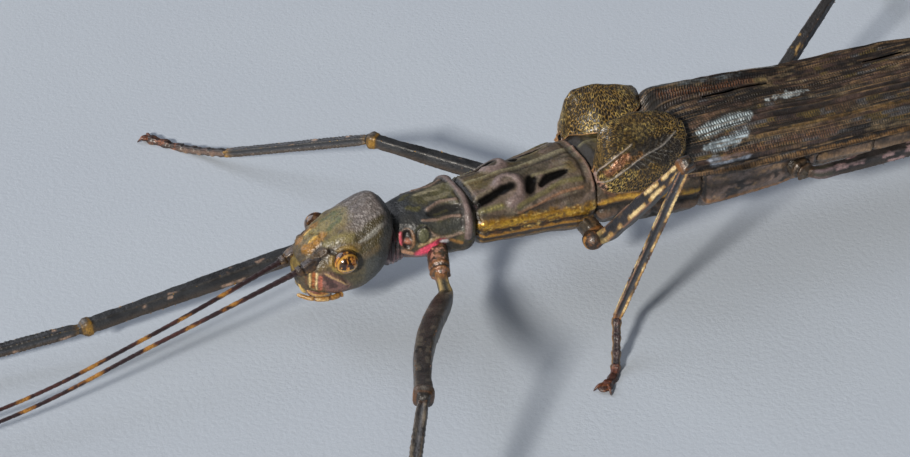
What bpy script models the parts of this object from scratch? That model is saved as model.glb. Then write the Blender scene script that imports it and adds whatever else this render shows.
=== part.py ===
"""Giant winged stick insect: one adult female at life size, standing still on its six feet.

All sizes and places below are in millimetres in the body frame: the head looks to -X, the
left side is -Y, +Z is up and Z 0 is the floor. FOOTPRINT then moves the model, so that its
origin lies on the floor under the middle of its bounding box. The mesh itself is in metres.
"""

import math
from dataclasses import dataclass, replace

import bmesh
import bpy
from mathutils import Vector

# ---------------------------------------------------------------- driving dimensions
MM = 0.001
GAP = 0.3  # clearance between neighbouring solids
FOOTPRINT = Vector((6.4, 13.7, 0.0))  # from the body frame to the model's origin

HEAD_REAR = -35.4
PROTHORAX = (-33.1, -22.5)
MESOTHORAX = (-22.1, -0.5)
METATHORAX = (-0.1, 19.6)
MEDIAN_SEGMENT = (20.0, 43.2)
ABDOMEN_START = 43.6
SEGMENT_LENGTH = 12.0
SEGMENT_COUNT = 6
ABDOMEN_TIP = 135.0
WING_TIP = 101.0

EYE_CENTRE = Vector((-46.0, 6.4, 16.0))
EYE_HALF = Vector((2.05, 1.9, 2.0))
LABRUM_CENTRE = Vector((-50.8, 0.0, 9.8))
LABRUM_HALF = Vector((1.5, 2.3, 2.1))
JAW_CENTRE = Vector((-49.0, 2.4, 9.5))
JAW_HALF = Vector((2.6, 1.8, 1.8))
PALP_ROUTE = ((-46.2, 4.7, 8.6), (-48.8, 4.9, 8.8), (-51.3, 4.0, 9.0), (-53.2, 2.6, 9.6))
PALP_HALF = 0.5
ANTENNA_HALF = 0.42
ANTENNA_RINGS = 12
TEGMEN_THICKNESS = 0.7
LIMB_SIDES = 8

COXA_HALF = {"fore": 2.1, "mid": 2.1, "hind": 1.8}
FEMUR_HALF = {"fore": 1.45, "mid": 1.4, "hind": 1.15}
TIBIA_HALF = {"fore": 0.9, "mid": 0.82, "hind": 0.85}
TARSUS_HALF = 0.75
CLAW_LENGTH = 2.0


# ---------------------------------------------------------------- sections and stations
@dataclass(frozen=True)
class Section:
    """One cross-section of the trunk: its place along X, half width, top and bottom heights.

    roof and keel are the powers of the upper and lower halves: 2 is an ellipse, less is
    peaked and more is boxy. waist is how far up the widest level lies, from 0 to 1.
    """

    x: float
    half: float
    top: float
    bottom: float
    roof: float = 2.4
    keel: float = 2.4
    waist: float = 0.5


@dataclass(frozen=True)
class Swelling:
    """A rounded hump on the upper surface: its centre, its radius and its height."""

    x: float
    y: float
    radius: float
    height: float


@dataclass(frozen=True)
class TegmenRib:
    """One cross-section of a tegmen: the inner margin, the crest and the outer margin."""

    x: float
    inner_y: float
    inner_z: float
    crest_y: float
    crest_z: float
    outer_y: float
    outer_z: float


@dataclass(frozen=True)
class WingRib:
    """One cross-section of a folded hindwing, which lies over the abdomen like half a roof."""

    x: float
    half: float
    top: float
    edge_z: float
    core_half: float
    core_top: float
    valley: float


@dataclass(frozen=True)
class Leg:
    """The joints of one leg, from where the coxa leaves the trunk to the claws."""

    kind: str
    root: tuple
    hip: tuple
    bend: tuple
    knee: tuple
    ankle: tuple
    heel: tuple
    toe: tuple
    bow: tuple = (0.0, 0.0, 0.0)


HEAD = (
    Section(-52.4, 2.2, 14.6, 10.2, 2.2, 2.2),
    Section(-51.6, 3.7, 16.5, 9.0, 2.2, 2.4),
    Section(-49.8, 4.9, 18.2, 8.2, 2.3, 2.6),
    Section(-46.5, 5.9, 20.0, 7.8, 2.2, 2.8),
    Section(-42.5, 6.4, 22.1, 7.8, 1.9, 2.6),
    Section(-38.6, 6.7, 23.5, 8.7, 1.7, 2.4),
    Section(-37.0, 6.6, 22.1, 10.0, 1.9, 2.2),
    Section(-36.0, 6.2, 20.5, 11.2, 2.1, 2.0),
    Section(HEAD_REAR, 5.2, 19.0, 12.4, 2.1, 2.0),
)
NECK = (
    Section(-35.1, 4.6, 18.8, 12.0),
    Section(-34.3, 4.9, 19.1, 11.6),
    Section(-33.4, 4.7, 18.9, 11.8),
)
PRONOTUM = (
    Section(PROTHORAX[0], 4.9, 19.2, 11.6, 2.6, 2.2),
    Section(-32.2, 5.7, 20.2, 10.9, 2.3, 2.4),
    Section(-29.0, 6.2, 20.6, 10.4, 2.3, 2.4),
    Section(-26.0, 6.6, 21.0, 10.3, 2.3, 2.4),
    Section(-23.9, 7.3, 21.4, 10.5, 2.2, 2.4),
    Section(-23.1, 7.1, 21.1, 10.9, 2.2, 2.4),
    Section(PROTHORAX[1], 6.3, 20.7, 11.6, 2.6, 2.2),
)
MESONOTUM = (
    Section(MESOTHORAX[0], 5.9, 20.0, 11.8, 2.6, 2.2),
    Section(-21.0, 6.6, 20.8, 10.8, 2.4, 2.5),
    Section(-15.0, 6.9, 21.4, 10.3, 2.4, 2.6),
    Section(-8.0, 7.3, 22.1, 9.8, 2.5, 2.6),
    Section(-2.8, 8.0, 22.9, 9.4, 2.5, 2.6),
    Section(-1.2, 7.8, 22.7, 9.6, 2.5, 2.4),
    Section(MESOTHORAX[1], 7.2, 22.0, 10.3, 2.6, 2.2),
)
MESONOTUM_HUMPS = (Swelling(-15.0, -3.6, 2.2, 0.9), Swelling(-15.0, 3.6, 2.2, 0.9))
METANOTUM = (
    Section(METATHORAX[0], 7.2, 22.4, 10.4, 2.6, 2.2),
    Section(1.2, 7.8, 23.2, 9.4, 2.7, 2.5),
    Section(5.0, 8.0, 23.0, 8.8, 2.7, 2.5),
    Section(8.4, 8.2, 21.9, 8.3, 2.6, 2.6),
    Section(18.4, 8.7, 21.4, 7.9, 2.6, 2.6),
    Section(METATHORAX[1], 8.1, 20.7, 8.6, 2.5, 2.2),
)
MEDIAN = (
    Section(MEDIAN_SEGMENT[0], 8.1, 20.7, 8.6, 2.5, 2.2),
    Section(21.4, 8.8, 21.3, 7.9, 2.6, 2.6),
    Section(31.0, 9.0, 21.3, 8.4, 2.6, 2.6),
    Section(41.8, 8.6, 20.9, 9.3, 2.5, 2.5),
    Section(MEDIAN_SEGMENT[1], 7.9, 20.2, 10.2, 2.4, 2.2),
)

# The abdomen's outline from its first ring to its tip, before it is parted into segments.
ABDOMEN = (
    Section(ABDOMEN_START, 7.9, 20.2, 9.9, 2.3, 2.3),
    Section(68.0, 7.4, 18.8, 8.4, 2.3, 2.3),
    Section(92.0, 6.2, 15.6, 5.9, 2.2, 2.3),
    Section(115.6, 4.8, 11.6, 3.6, 2.2, 2.3),
    Section(127.0, 3.6, 9.8, 4.0, 2.2, 2.2),
    Section(ABDOMEN_TIP, 2.0, 8.6, 5.6, 2.2, 2.2),
)
SUBGENITAL = (
    Section(117.0, 2.2, 3.1, 2.4, 2.2, 2.2),
    Section(121.0, 3.2, 3.3, 1.4, 2.4, 2.0),
    Section(128.0, 2.6, 3.4, 1.3, 2.4, 2.0),
    Section(135.0, 1.5, 4.0, 2.4, 2.2, 2.0),
    Section(140.0, 0.5, 4.6, 4.0, 2.0, 2.0),
)

TEGMEN = (
    TegmenRib(-0.6, 5.6, 20.9, 6.4, 22.6, 7.3, 19.8),
    TegmenRib(0.2, 4.6, 22.6, 6.1, 29.2, 8.3, 18.9),
    TegmenRib(2.0, 2.4, 23.5, 6.2, 30.5, 9.6, 18.4),
    TegmenRib(6.0, 0.5, 24.6, 5.9, 30.8, 10.6, 18.4),
    TegmenRib(10.0, 0.4, 26.1, 5.7, 30.1, 10.7, 19.4),
    TegmenRib(13.2, 1.4, 26.9, 5.9, 29.2, 10.2, 21.3),
    TegmenRib(15.0, 3.8, 26.9, 6.7, 28.3, 9.3, 23.6),
    TegmenRib(15.7, 5.6, 27.1, 6.9, 27.6, 8.2, 25.4),
)
HINDWING = (
    WingRib(9.0, 8.9, 25.2, 18.6, 8.5, 22.4, 2.4),
    WingRib(13.0, 9.1, 26.4, 18.0, 8.8, 22.3, 3.0),
    WingRib(16.5, 9.7, 28.7, 17.8, 9.1, 22.3, 2.4),
    WingRib(21.0, 9.9, 29.3, 17.5, 9.4, 22.2, 1.8),
    WingRib(30.0, 10.0, 29.2, 17.0, 9.5, 22.2, 1.6),
    WingRib(44.0, 9.9, 28.8, 16.4, 9.2, 22.0, 1.2),
    WingRib(66.0, 9.2, 28.0, 15.8, 8.2, 20.6, 0.8),
    WingRib(84.0, 7.8, 24.2, 14.0, 7.2, 18.2, 0.5),
    WingRib(95.0, 6.4, 19.6, 12.6, 6.4, 16.6, 0.3),
    WingRib(WING_TIP, 4.2, 15.9, 12.9, 5.4, 15.3, 0.1),
)

LEGS = {
    "fore_left": Leg(
        "fore",
        (-29.2, -4.8, 13.4),
        (-30.9, -9.8, 11.7),
        (-31.9, -14.0, 9.5),
        (-54.5, -56.0, 24.0),
        (-72.0, -93.0, 3.0),
        (-75.0, -98.0, 0.5),
        (-79.5, -107.0, 0.5),
        (-1.4, 0.6, 0.0),
    ),
    "fore_right": Leg(
        "fore",
        (-29.2, 4.8, 13.4),
        (-30.9, 9.8, 11.7),
        (-34.6, 11.2, 9.5),
        (-86.6, 9.1, 5.0),
        (-136.0, 11.5, 2.2),
        (-141.0, 12.2, 0.5),
        (-151.0, 14.0, 0.5),
    ),
    "mid_left": Leg(
        "mid",
        (-3.9, -5.0, 13.2),
        (-2.6, -10.4, 10.9),
        (-1.6, -13.2, 13.4),
        (2.3, -31.3, 35.8),
        (-6.6, -26.6, 6.0),
        (-10.1, -33.0, 0.5),
        (-13.6, -36.2, 0.5),
    ),
    "mid_right": Leg(
        "mid",
        (-3.9, 5.0, 13.2),
        (-3.0, 10.2, 10.2),
        (-4.6, 12.4, 9.9),
        (-24.7, 33.6, 12.9),
        (-44.2, 56.4, 2.8),
        (-49.4, 65.0, 0.5),
        (-54.4, 71.4, 0.5),
    ),
    "hind_left": Leg(
        "hind",
        (37.6, -5.6, 14.8),
        (39.0, -10.2, 13.8),
        (41.6, -11.2, 13.4),
        (87.0, -15.0, 16.8),
        (125.0, -42.0, 3.0),
        (128.6, -46.0, 0.5),
        (134.0, -54.0, 0.5),
    ),
    "hind_right": Leg(
        "hind",
        (37.6, 5.6, 14.8),
        (39.4, 10.2, 13.6),
        (42.4, 12.0, 13.6),
        (77.4, 33.4, 29.4),
        (105.0, 67.0, 3.0),
        (108.0, 71.0, 0.5),
        (113.0, 79.5, 0.5),
    ),
}

ANTENNA_ROUTE = {
    "left": (
        (-48.9, -3.2, 15.7),
        (-53.2, -3.4, 14.2),
        (-79.5, -5.9, 9.2),
        (-105.4, -8.4, 4.4),
        (-143.0, -11.6, 3.0),
    ),
    "right": (
        (-49.4, 2.9, 15.0),
        (-53.8, 2.6, 12.9),
        (-79.5, -1.9, 8.4),
        (-105.0, -6.3, 4.0),
        (-142.0, -8.0, 3.0),
    ),
}


# ---------------------------------------------------------------- small helpers
def smooth_at(records, x):
    """The record at x on a smooth curve through records, which lie in order of x."""
    after = next((i for i, r in enumerate(records) if r.x >= x), len(records) - 1)
    i = max(after - 1, 0)
    a, b = records[i], records[min(i + 1, len(records) - 1)]
    before = records[max(i - 1, 0)]
    beyond = records[min(i + 2, len(records) - 1)]
    width = b.x - a.x
    t = 0.0 if width == 0 else min(max((x - a.x) / width, 0.0), 1.0)
    fields = {"x": x}
    for name in vars(a):
        if name == "x":
            continue
        v0, v1, v2, v3 = (getattr(r, name) for r in (before, a, b, beyond))
        slope_a = limited_slope(v0, v1, v2, a.x - before.x, width)
        slope_b = limited_slope(v1, v2, v3, width, beyond.x - b.x)
        fields[name] = hermite(v1, v2, slope_a * width, slope_b * width, t)
    return replace(a, **fields)


def limited_slope(v0, v1, v2, h0, h1):
    """A slope at v1 that never lets the curve overshoot its points."""
    if h0 <= 0 or h1 <= 0:
        return 0.0 if h0 <= 0 and h1 <= 0 else ((v1 - v0) / h0 if h0 > 0 else (v2 - v1) / h1)
    d0, d1 = (v1 - v0) / h0, (v2 - v1) / h1
    return 0.0 if d0 * d1 <= 0 else 2 * d0 * d1 / (d0 + d1)


def hermite(a, b, slope_a, slope_b, t):
    """The cubic from a to b with these end slopes."""
    return (
        a * (2 * t**3 - 3 * t**2 + 1)
        + b * (3 * t**2 - 2 * t**3)
        + slope_a * (t**3 - 2 * t**2 + t)
        + slope_b * (t**3 - t**2)
    )


def power(value, exponent):
    """value raised to 2 / exponent with its sign kept, which squares or peaks an ellipse."""
    return math.copysign(abs(value) ** (2.0 / exponent), value)


def new_collection(name):
    """A collection of this name in the scene."""
    made = bpy.data.collections.new(name)
    bpy.context.scene.collection.children.link(made)
    return made


def material(name, colour, roughness, metallic=0.0):
    """A Principled material, made once for each name."""
    found = bpy.data.materials.get(name)
    if found:
        return found
    made = bpy.data.materials.new(name)
    made.use_nodes = True
    shader = made.node_tree.nodes["Principled BSDF"]
    shader.inputs["Base Color"].default_value = (*colour, 1.0)
    shader.inputs["Roughness"].default_value = roughness
    shader.inputs["Metallic"].default_value = metallic
    return made


class Workshop:
    """Makes the objects: the parts in one collection, and the cutters in another."""

    def __init__(self):
        """Opens both collections and the empty that the parts hang from."""
        self.parts = new_collection("giant_stick_insect")
        self.cutters = new_collection("cutters")
        self.cutters.hide_render = True
        self.stand_point = bpy.data.objects.new("stick_insect_frame", None)
        self.stand_point.location = FOOTPRINT * MM
        self.parts.objects.link(self.stand_point)

    def add(self, name, bm, finish, cutter=False):
        """Turns a bmesh in millimetres into an object and returns it."""
        bmesh.ops.recalc_face_normals(bm, faces=bm.faces)
        bmesh.ops.scale(bm, vec=(MM, MM, MM), verts=bm.verts)
        mesh = bpy.data.meshes.new(name)
        bm.to_mesh(mesh)
        bm.free()
        mesh.shade_smooth()
        made = bpy.data.objects.new(name, mesh)
        made.parent = self.stand_point
        (self.cutters if cutter else self.parts).objects.link(made)
        if cutter:
            made.hide_render = True
            made.display_type = "WIRE"
        else:
            mesh.materials.append(finish)
            mesh.set_sharp_from_angle(angle=math.radians(50))
        return made


def trim(piece, *cutters):
    """Cuts each cutter's shape from piece, so that the piece meets its neighbour."""
    for cutter in cutters:
        cut = piece.modifiers.new("trim", "BOOLEAN")
        cut.operation = "DIFFERENCE"
        cut.solver = "EXACT"
        cut.object = cutter


def weld_on(piece, *additions):
    """Joins each addition's shape to piece, which makes them one body."""
    for addition in additions:
        join = piece.modifiers.new("weld_on", "BOOLEAN")
        join.operation = "UNION"
        join.solver = "EXACT"
        join.object = addition


def skin_rings(rings):
    """A closed bmesh over rings of points, each ring joined to the next and both ends capped."""
    bm = bmesh.new()
    loops = []
    for ring in rings:
        verts = [bm.verts.new(point) for point in ring]
        loops.append([bm.edges.new(pair) for pair in zip(verts, verts[1:] + verts[:1])])
    for first, second in zip(loops, loops[1:]):
        bmesh.ops.bridge_loops(bm, edges=first + second)
    for loop in (loops[0], loops[-1]):
        bmesh.ops.contextual_create(bm, geom=loop)
    return bm


# ---------------------------------------------------------------- trunk
def trunk_ring(section, count, swellings=(), grow=0.0):
    """The points of one trunk section, from the left side round over the top."""
    centre = section.bottom + (section.top - section.bottom) * section.waist
    points = []
    for step in range(count):
        angle = 2 * math.pi * (step + 0.5) / count
        side, up = math.cos(angle), math.sin(angle)
        exponent = section.roof if up > 0 else section.keel
        reach = (section.top - centre if up > 0 else centre - section.bottom) + grow
        y = (section.half + grow) * power(side, exponent)
        z = centre + reach * power(up, exponent)
        if up > 0:
            z += sum(
                s.height * math.exp(-((section.x - s.x) ** 2 + (y - s.y) ** 2) / s.radius**2)
                for s in swellings
            )
        points.append(Vector((section.x, y, z)))
    return points


def trunk_stations(sections, rings):
    """Sections at evenly spread places, with the first and last close to their neighbours."""
    start, end = sections[0].x, sections[-1].x
    places = [start + (end - start) * i / (rings - 1) for i in range(rings)]
    return [smooth_at(sections, x) for x in places]


def trunk_piece(shop, name, sections, rings, count, finish, swellings=()):
    """One length of the trunk, through its own sections and the even ones between them."""
    stations = sorted(
        {s.x: s for s in (*trunk_stations(sections, rings), *sections)}.values(),
        key=lambda s: s.x,
    )
    spaced = [s for i, s in enumerate(stations) if i == 0 or s.x - stations[i - 1].x > 0.25]
    bm = skin_rings([trunk_ring(s, count, swellings) for s in spaced])
    return shop.add(name, bm, finish)


def trunk_cutter(shop, name, sections, count=16):
    """The shape of a length of the trunk, larger by GAP all round, to trim its neighbours."""
    first, last = sections[0], sections[-1]
    stations = (
        replace(first, x=first.x - GAP),
        *sections[1:-1],
        replace(last, x=last.x + GAP),
    )
    bm = skin_rings([trunk_ring(s, count, grow=GAP) for s in stations])
    return shop.add(name, bm, None, cutter=True)


def build_thorax(shop, plate):
    """The neck and the three lengths of the thorax, with the median segment behind them."""
    trunk_piece(shop, "neck", NECK, 2, 16, plate)
    trunk_piece(shop, "prothorax", PRONOTUM, 5, 16, plate)
    trunk_piece(shop, "mesothorax", MESONOTUM, 11, 16, plate, MESONOTUM_HUMPS)
    trunk_piece(shop, "metathorax", METANOTUM, 5, 16, plate)
    trunk_piece(shop, "median_segment", MEDIAN, 5, 16, plate)


def abdomen_segment(start, end):
    """Sections of one abdominal segment: rounded at both rims and slightly waisted."""
    rim, shoulder = 0.35, 1.0
    places = (
        (start, rim),
        (start + shoulder, 0.0),
        ((start + end) / 2, 0.12),
        (end - shoulder, 0.0),
        (end, rim),
    )
    made = []
    for x, inset in places:
        s = smooth_at(ABDOMEN, x)
        made.append(replace(s, half=s.half - inset, top=s.top - inset, bottom=s.bottom + inset))
    return made


def build_abdomen(shop, plate):
    """Six like segments, the tip, the subgenital plate under it and the two cerci."""
    x = ABDOMEN_START
    for number in range(2, 2 + SEGMENT_COUNT):
        end = x + SEGMENT_LENGTH
        sections = abdomen_segment(x, end - GAP)
        trunk_piece(shop, f"abdomen_{number}", sections, 2, 14, plate)
        x = end
    trunk_piece(shop, "abdomen_tip", abdomen_segment(x, ABDOMEN_TIP), 3, 14, plate)
    operculum = trunk_piece(shop, "subgenital_plate", SUBGENITAL, 2, 10, plate)
    trim(operculum, trunk_cutter(shop, "tip_cutter", abdomen_segment(x, ABDOMEN_TIP), 14))
    for side, name in ((-1, "cercus_left"), (1, "cercus_right")):
        root, end = Vector((132.0, side * 2.2, 8.2)), Vector((139.4, side * 3.3, 7.6))
        rings = limb_rings(((root, 0.5), (root.lerp(end, 0.5), 0.75), (end, 0.3)), 6)
        trim(shop.add(name, skin_rings(rings), plate), bpy.data.objects["tip_cutter"])


# ---------------------------------------------------------------- head
def build_head(shop, finishes):
    """The head capsule with its eyes, labrum, mandibles and palps."""
    head = trunk_piece(shop, "head", HEAD, 8, 20, finishes["plate"])
    skull = trunk_cutter(shop, "head_cutter", HEAD, 20)
    room = Vector((GAP, GAP, GAP))
    lip = shop.add("lip_cutter", ball(LABRUM_CENTRE, LABRUM_HALF + room, 10, 6), None, cutter=True)
    labrum = shop.add("labrum", ball(LABRUM_CENTRE, LABRUM_HALF, 10, 6), finishes["mouth"])
    trim(labrum, skull)
    for side, name in ((-1, "left"), (1, "right")):
        eye_at = Vector((EYE_CENTRE.x, side * EYE_CENTRE.y, EYE_CENTRE.z))
        shop.add(f"eye_{name}", ball(eye_at, EYE_HALF, 12, 8), finishes["eye"])
        trim(head, shop.add(f"socket_{name}", ball(eye_at, EYE_HALF + room, 12, 8), None, cutter=True))
        jaw_at = Vector((JAW_CENTRE.x, side * JAW_CENTRE.y, JAW_CENTRE.z))
        trim(shop.add(f"mandible_{name}", ball(jaw_at, JAW_HALF, 10, 6), finishes["mouth"]), skull)
        jaw = shop.add(f"jaw_cutter_{name}", ball(jaw_at, JAW_HALF + room, 10, 6), None, cutter=True)
        steps = [(Vector((x, side * y, z)), PALP_HALF) for x, y, z in PALP_ROUTE]
        palps = shop.add(f"palps_{name}", skin_rings(limb_rings(steps, 6)), finishes["mouth"])
        trim(palps, skull, jaw, lip)
        trim(labrum, jaw)


def ball(centre, half, around, rings):
    """An ellipsoid with this centre and these half sizes."""
    bm = bmesh.new()
    bmesh.ops.create_uvsphere(bm, u_segments=around, v_segments=rings, radius=1.0)
    bmesh.ops.scale(bm, vec=half, verts=bm.verts)
    bmesh.ops.translate(bm, vec=centre, verts=bm.verts)
    return bm


def build_antennae(shop, finish):
    """Each antenna: a stout base by the eye and a long tapering flagellum."""
    head = bpy.data.objects["head_cutter"]
    for side, route in ANTENNA_ROUTE.items():
        root, neck, middle, far, tip = (Vector(p) for p in route)
        base = ((root, 0.95), (root.lerp(neck, 0.5), 1.0), (neck, 0.7))
        trim(shop.add(f"antenna_base_{side}", skin_rings(limb_rings(base, 8)), finish), head)
        start = neck + (middle - neck).normalized() * (GAP + 0.1)
        path = spline((start, middle, far, tip), ANTENNA_RINGS)
        last = ANTENNA_RINGS - 1
        sizes = [ANTENNA_HALF + 0.18 * math.exp(-i / 2) - 0.12 * i / last for i in range(last + 1)]
        rings = limb_rings(list(zip(path, sizes)), 6)
        shop.add(f"antenna_{side}", skin_rings(rings), finish)


# ---------------------------------------------------------------- limbs
def limb_rings(steps, sides, grow=0.0, lowest=None):
    """Rings round a path of (point, half width) steps, turning smoothly from one to the next.

    With lowest given, no point goes below that height, which leaves a flat sole there.
    """
    points = [point for point, _ in steps]
    across = None
    rings = []
    for i, (point, half) in enumerate(steps):
        along = (points[min(i + 1, len(points) - 1)] - points[max(i - 1, 0)]).normalized()
        if across is None:
            across = along.cross(Vector((0, 0, 1)))
        across = (across - along * across.dot(along)).normalized()
        up = across.cross(along)
        end = (-grow if i == 0 else grow if i == len(points) - 1 else 0.0) * along
        ring = []
        for k in range(sides):
            angle = 2 * math.pi * (k + 0.5) / sides
            offset = across * power(math.cos(angle), 2.5) + up * power(math.sin(angle), 2.5)
            spot = point + end + offset * (half + grow)
            if lowest is not None:
                spot.z = max(spot.z, lowest)
            ring.append(spot)
        rings.append(ring)
    return rings


def spline(points, count):
    """count points along a smooth curve through the given ones."""
    knots = [points[0], *points, points[-1]]
    lengths = [0.0]
    for a, b in zip(points, points[1:]):
        lengths.append(lengths[-1] + (b - a).length)
    path = []
    for i in range(count):
        target = lengths[-1] * i / (count - 1)
        span = max(k for k in range(len(points) - 1) if lengths[k] <= target + 1e-9)
        t = (target - lengths[span]) / (lengths[span + 1] - lengths[span])
        before, a, b, beyond = knots[span : span + 4]
        path.append(hermite(a, b, (b - before) / 2, (beyond - a) / 2, t))
    return path


def femur_steps(leg):
    """The femur: a slim curved base, a stout shaft and a swollen knee."""
    hip, bend, knee = Vector(leg.hip), Vector(leg.bend), Vector(leg.knee)
    half = FEMUR_HALF[leg.kind]
    base = 0.62 if leg.kind == "fore" else 0.8
    shaft = ((0.1, 0.94), (0.25, 1.0), (0.45, 0.98), (0.65, 0.9), (0.85, 0.8), (0.93, 0.86), (0.98, 0.94))
    steps = [(hip, half * 0.7), (hip.lerp(bend, 0.45), half * base), (bend, half * (base + 0.12))]
    steps += [(bend.lerp(knee, share), half * size) for share, size in shaft]
    beyond = knee + (knee - bend).normalized() * half * 0.4
    bow, steps = Vector(leg.bow), steps + [(beyond, half * 0.62)]
    length = (knee - hip).length
    return [(p + bow * math.sin(math.pi * min((p - hip).length / length, 1.0)), h) for p, h in steps]


def tibia_steps(leg):
    """The tibia: it leaves the knee, narrows slightly and widens again at the ankle."""
    knee, ankle = Vector(leg.knee), Vector(leg.ankle)
    half = TIBIA_HALF[leg.kind]
    shaft = ((0.0, 0.7), (0.05, 1.0), (0.3, 1.0), (0.6, 0.92), (0.9, 0.92), (1.0, 0.8))
    return [(knee.lerp(ankle, share), half * size) for share, size in shaft]


def tarsus_steps(leg):
    """The tarsus: five pads in a row, the last three flat on the floor."""
    ankle, heel, toe = Vector(leg.ankle), Vector(leg.heel), Vector(leg.toe)
    route = spline((ankle, heel, toe), 13)
    swell = (0.8, 0.95, 0.72, 0.92, 0.7, 0.95, 0.75, 1.0, 0.72, 1.05, 0.8, 1.1, 0.7)
    return [(point, TARSUS_HALF * size) for point, size in zip(route, swell)]


def claw(leg, side):
    """One claw at the end of a foot, curving out and down to the floor."""
    heel, toe = Vector(leg.heel), Vector(leg.toe)
    ahead = (toe - heel).normalized()
    out = ahead.cross(Vector((0, 0, 1))) * side
    root = toe - ahead * 0.6 + out * 0.12 + Vector((0, 0, 0.2))
    middle = root + (ahead * 0.6 + out * 0.4) * CLAW_LENGTH + Vector((0, 0, 0.25))
    tip = root + (ahead * 1.0 + out * 0.7) * CLAW_LENGTH - Vector((0, 0, 0.5))
    steps = ((root, 0.36), (middle, 0.34), (tip, 0.25))
    return skin_rings(limb_rings(steps, 6, lowest=0.05))


def build_leg(shop, name, leg, finishes, body_cutters):
    """The coxa, femur, tibia and tarsus of one leg, each trimmed to the one before it."""
    root, hip = Vector(leg.root), Vector(leg.hip)
    stout = COXA_HALF[leg.kind]
    coxa_steps = (
        (root, stout * 0.8),
        (root.lerp(hip, 0.6), stout),
        (hip, stout * 0.9),
        (hip + (hip - root) * 0.12, stout * 0.5),
    )
    lengths = (
        ("coxa", coxa_steps, None, finishes["plate"]),
        ("femur", femur_steps(leg), None, finishes["limb"]),
        ("tibia", tibia_steps(leg), None, finishes["limb"]),
        ("tarsus", tarsus_steps(leg), 0.0, finishes["foot"]),
    )
    cutters = body_cutters
    for kind, steps, floor, finish in lengths:
        piece = shop.add(f"{kind}_{name}", skin_rings(limb_rings(steps, LIMB_SIDES, lowest=floor)), finish)
        trim(piece, *cutters)
        grown = skin_rings(limb_rings(steps, LIMB_SIDES, grow=GAP))
        cutters = [shop.add(f"{kind}_cutter_{name}", grown, None, cutter=True)]
        if kind == "tarsus":
            claws = [shop.add(f"claw_{name}_{side:+d}", claw(leg, side), None, True) for side in (-1, 1)]
            weld_on(piece, *claws)


# ---------------------------------------------------------------- wings
def tegmen_grid(side, rib_count, steps):
    """An open sheet for one tegmen: ribs from its base to its tip, each arched over the crest."""
    start, end = TEGMEN[0].x, TEGMEN[-1].x
    bm = bmesh.new()
    rows = []
    for i in range(rib_count):
        share = 0.5 - 0.5 * math.cos(math.pi * i / (rib_count - 1))
        rib = smooth_at(TEGMEN, start + (end - start) * share)
        inner = Vector((rib.x, side * rib.inner_y, rib.inner_z))
        crest = Vector((rib.x, side * rib.crest_y, rib.crest_z))
        outer = Vector((rib.x, side * rib.outer_y, rib.outer_z))
        flank = Vector((rib.x, side * (rib.outer_y + 0.05), rib.outer_z * 0.62 + rib.crest_z * 0.38))
        rows.append([bm.verts.new(p) for p in spline((inner, crest, flank, outer), steps)])
    for near, far in zip(rows, rows[1:]):
        for k in range(steps - 1):
            bm.faces.new((near[k], near[k + 1], far[k + 1], far[k]))
    return bm


def build_tegmina(shop, finish, cutters):
    """The two short, humped forewings, trimmed to the thorax."""
    for side, name in ((-1, "tegmen_left"), (1, "tegmen_right")):
        bm = tegmen_grid(side, 10, 9)
        bmesh.ops.recalc_face_normals(bm, faces=bm.faces)
        if sum(face.normal.z for face in bm.faces) < 0:
            bmesh.ops.reverse_faces(bm, faces=bm.faces)
        bmesh.ops.solidify(bm, geom=bm.faces, thickness=TEGMEN_THICKNESS)
        trim(shop.add(name, bm, finish), *cutters)


def wing_ring(rib, side, steps):
    """The closed outline of a folded hindwing: the roof outside and the body's shape inside."""
    centre = 15.0 if rib.x < 60 else 15.0 - (rib.x - 60) * 0.11
    outer, inner = [], []
    for i in range(steps):
        share = i / (steps - 1)
        for half, top, line in ((rib.half, rib.top, outer), (rib.core_half, rib.core_top, inner)):
            low = math.asin(min(max((rib.edge_z - centre) / (top - centre), 0.02), 0.9) ** 1.25)
            angle = low + (math.pi / 2 - low) * share
            y = max(half * power(math.cos(angle), 2.5), GAP * 0.6)
            z = centre + (top - centre) * power(math.sin(angle), 2.5)
            if line is outer:
                z -= rib.valley * max(0.0, 1.0 - 1.6 * y / half) ** 2
            line.append(Vector((rib.x, side * y, z)))
    return outer + inner[::-1]


def build_hindwings(shop, finish):
    """The two long hindwings, folded over the abdomen."""
    places = [r.x for r in HINDWING] + [24.0, 37.0, 55.0, 75.0]
    for side, name in ((-1, "hindwing_left"), (1, "hindwing_right")):
        ribs = [smooth_at(HINDWING, x) for x in sorted(places)]
        bm = skin_rings([wing_ring(rib, side, 8) for rib in ribs])
        shop.add(name, bm, finish)


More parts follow.
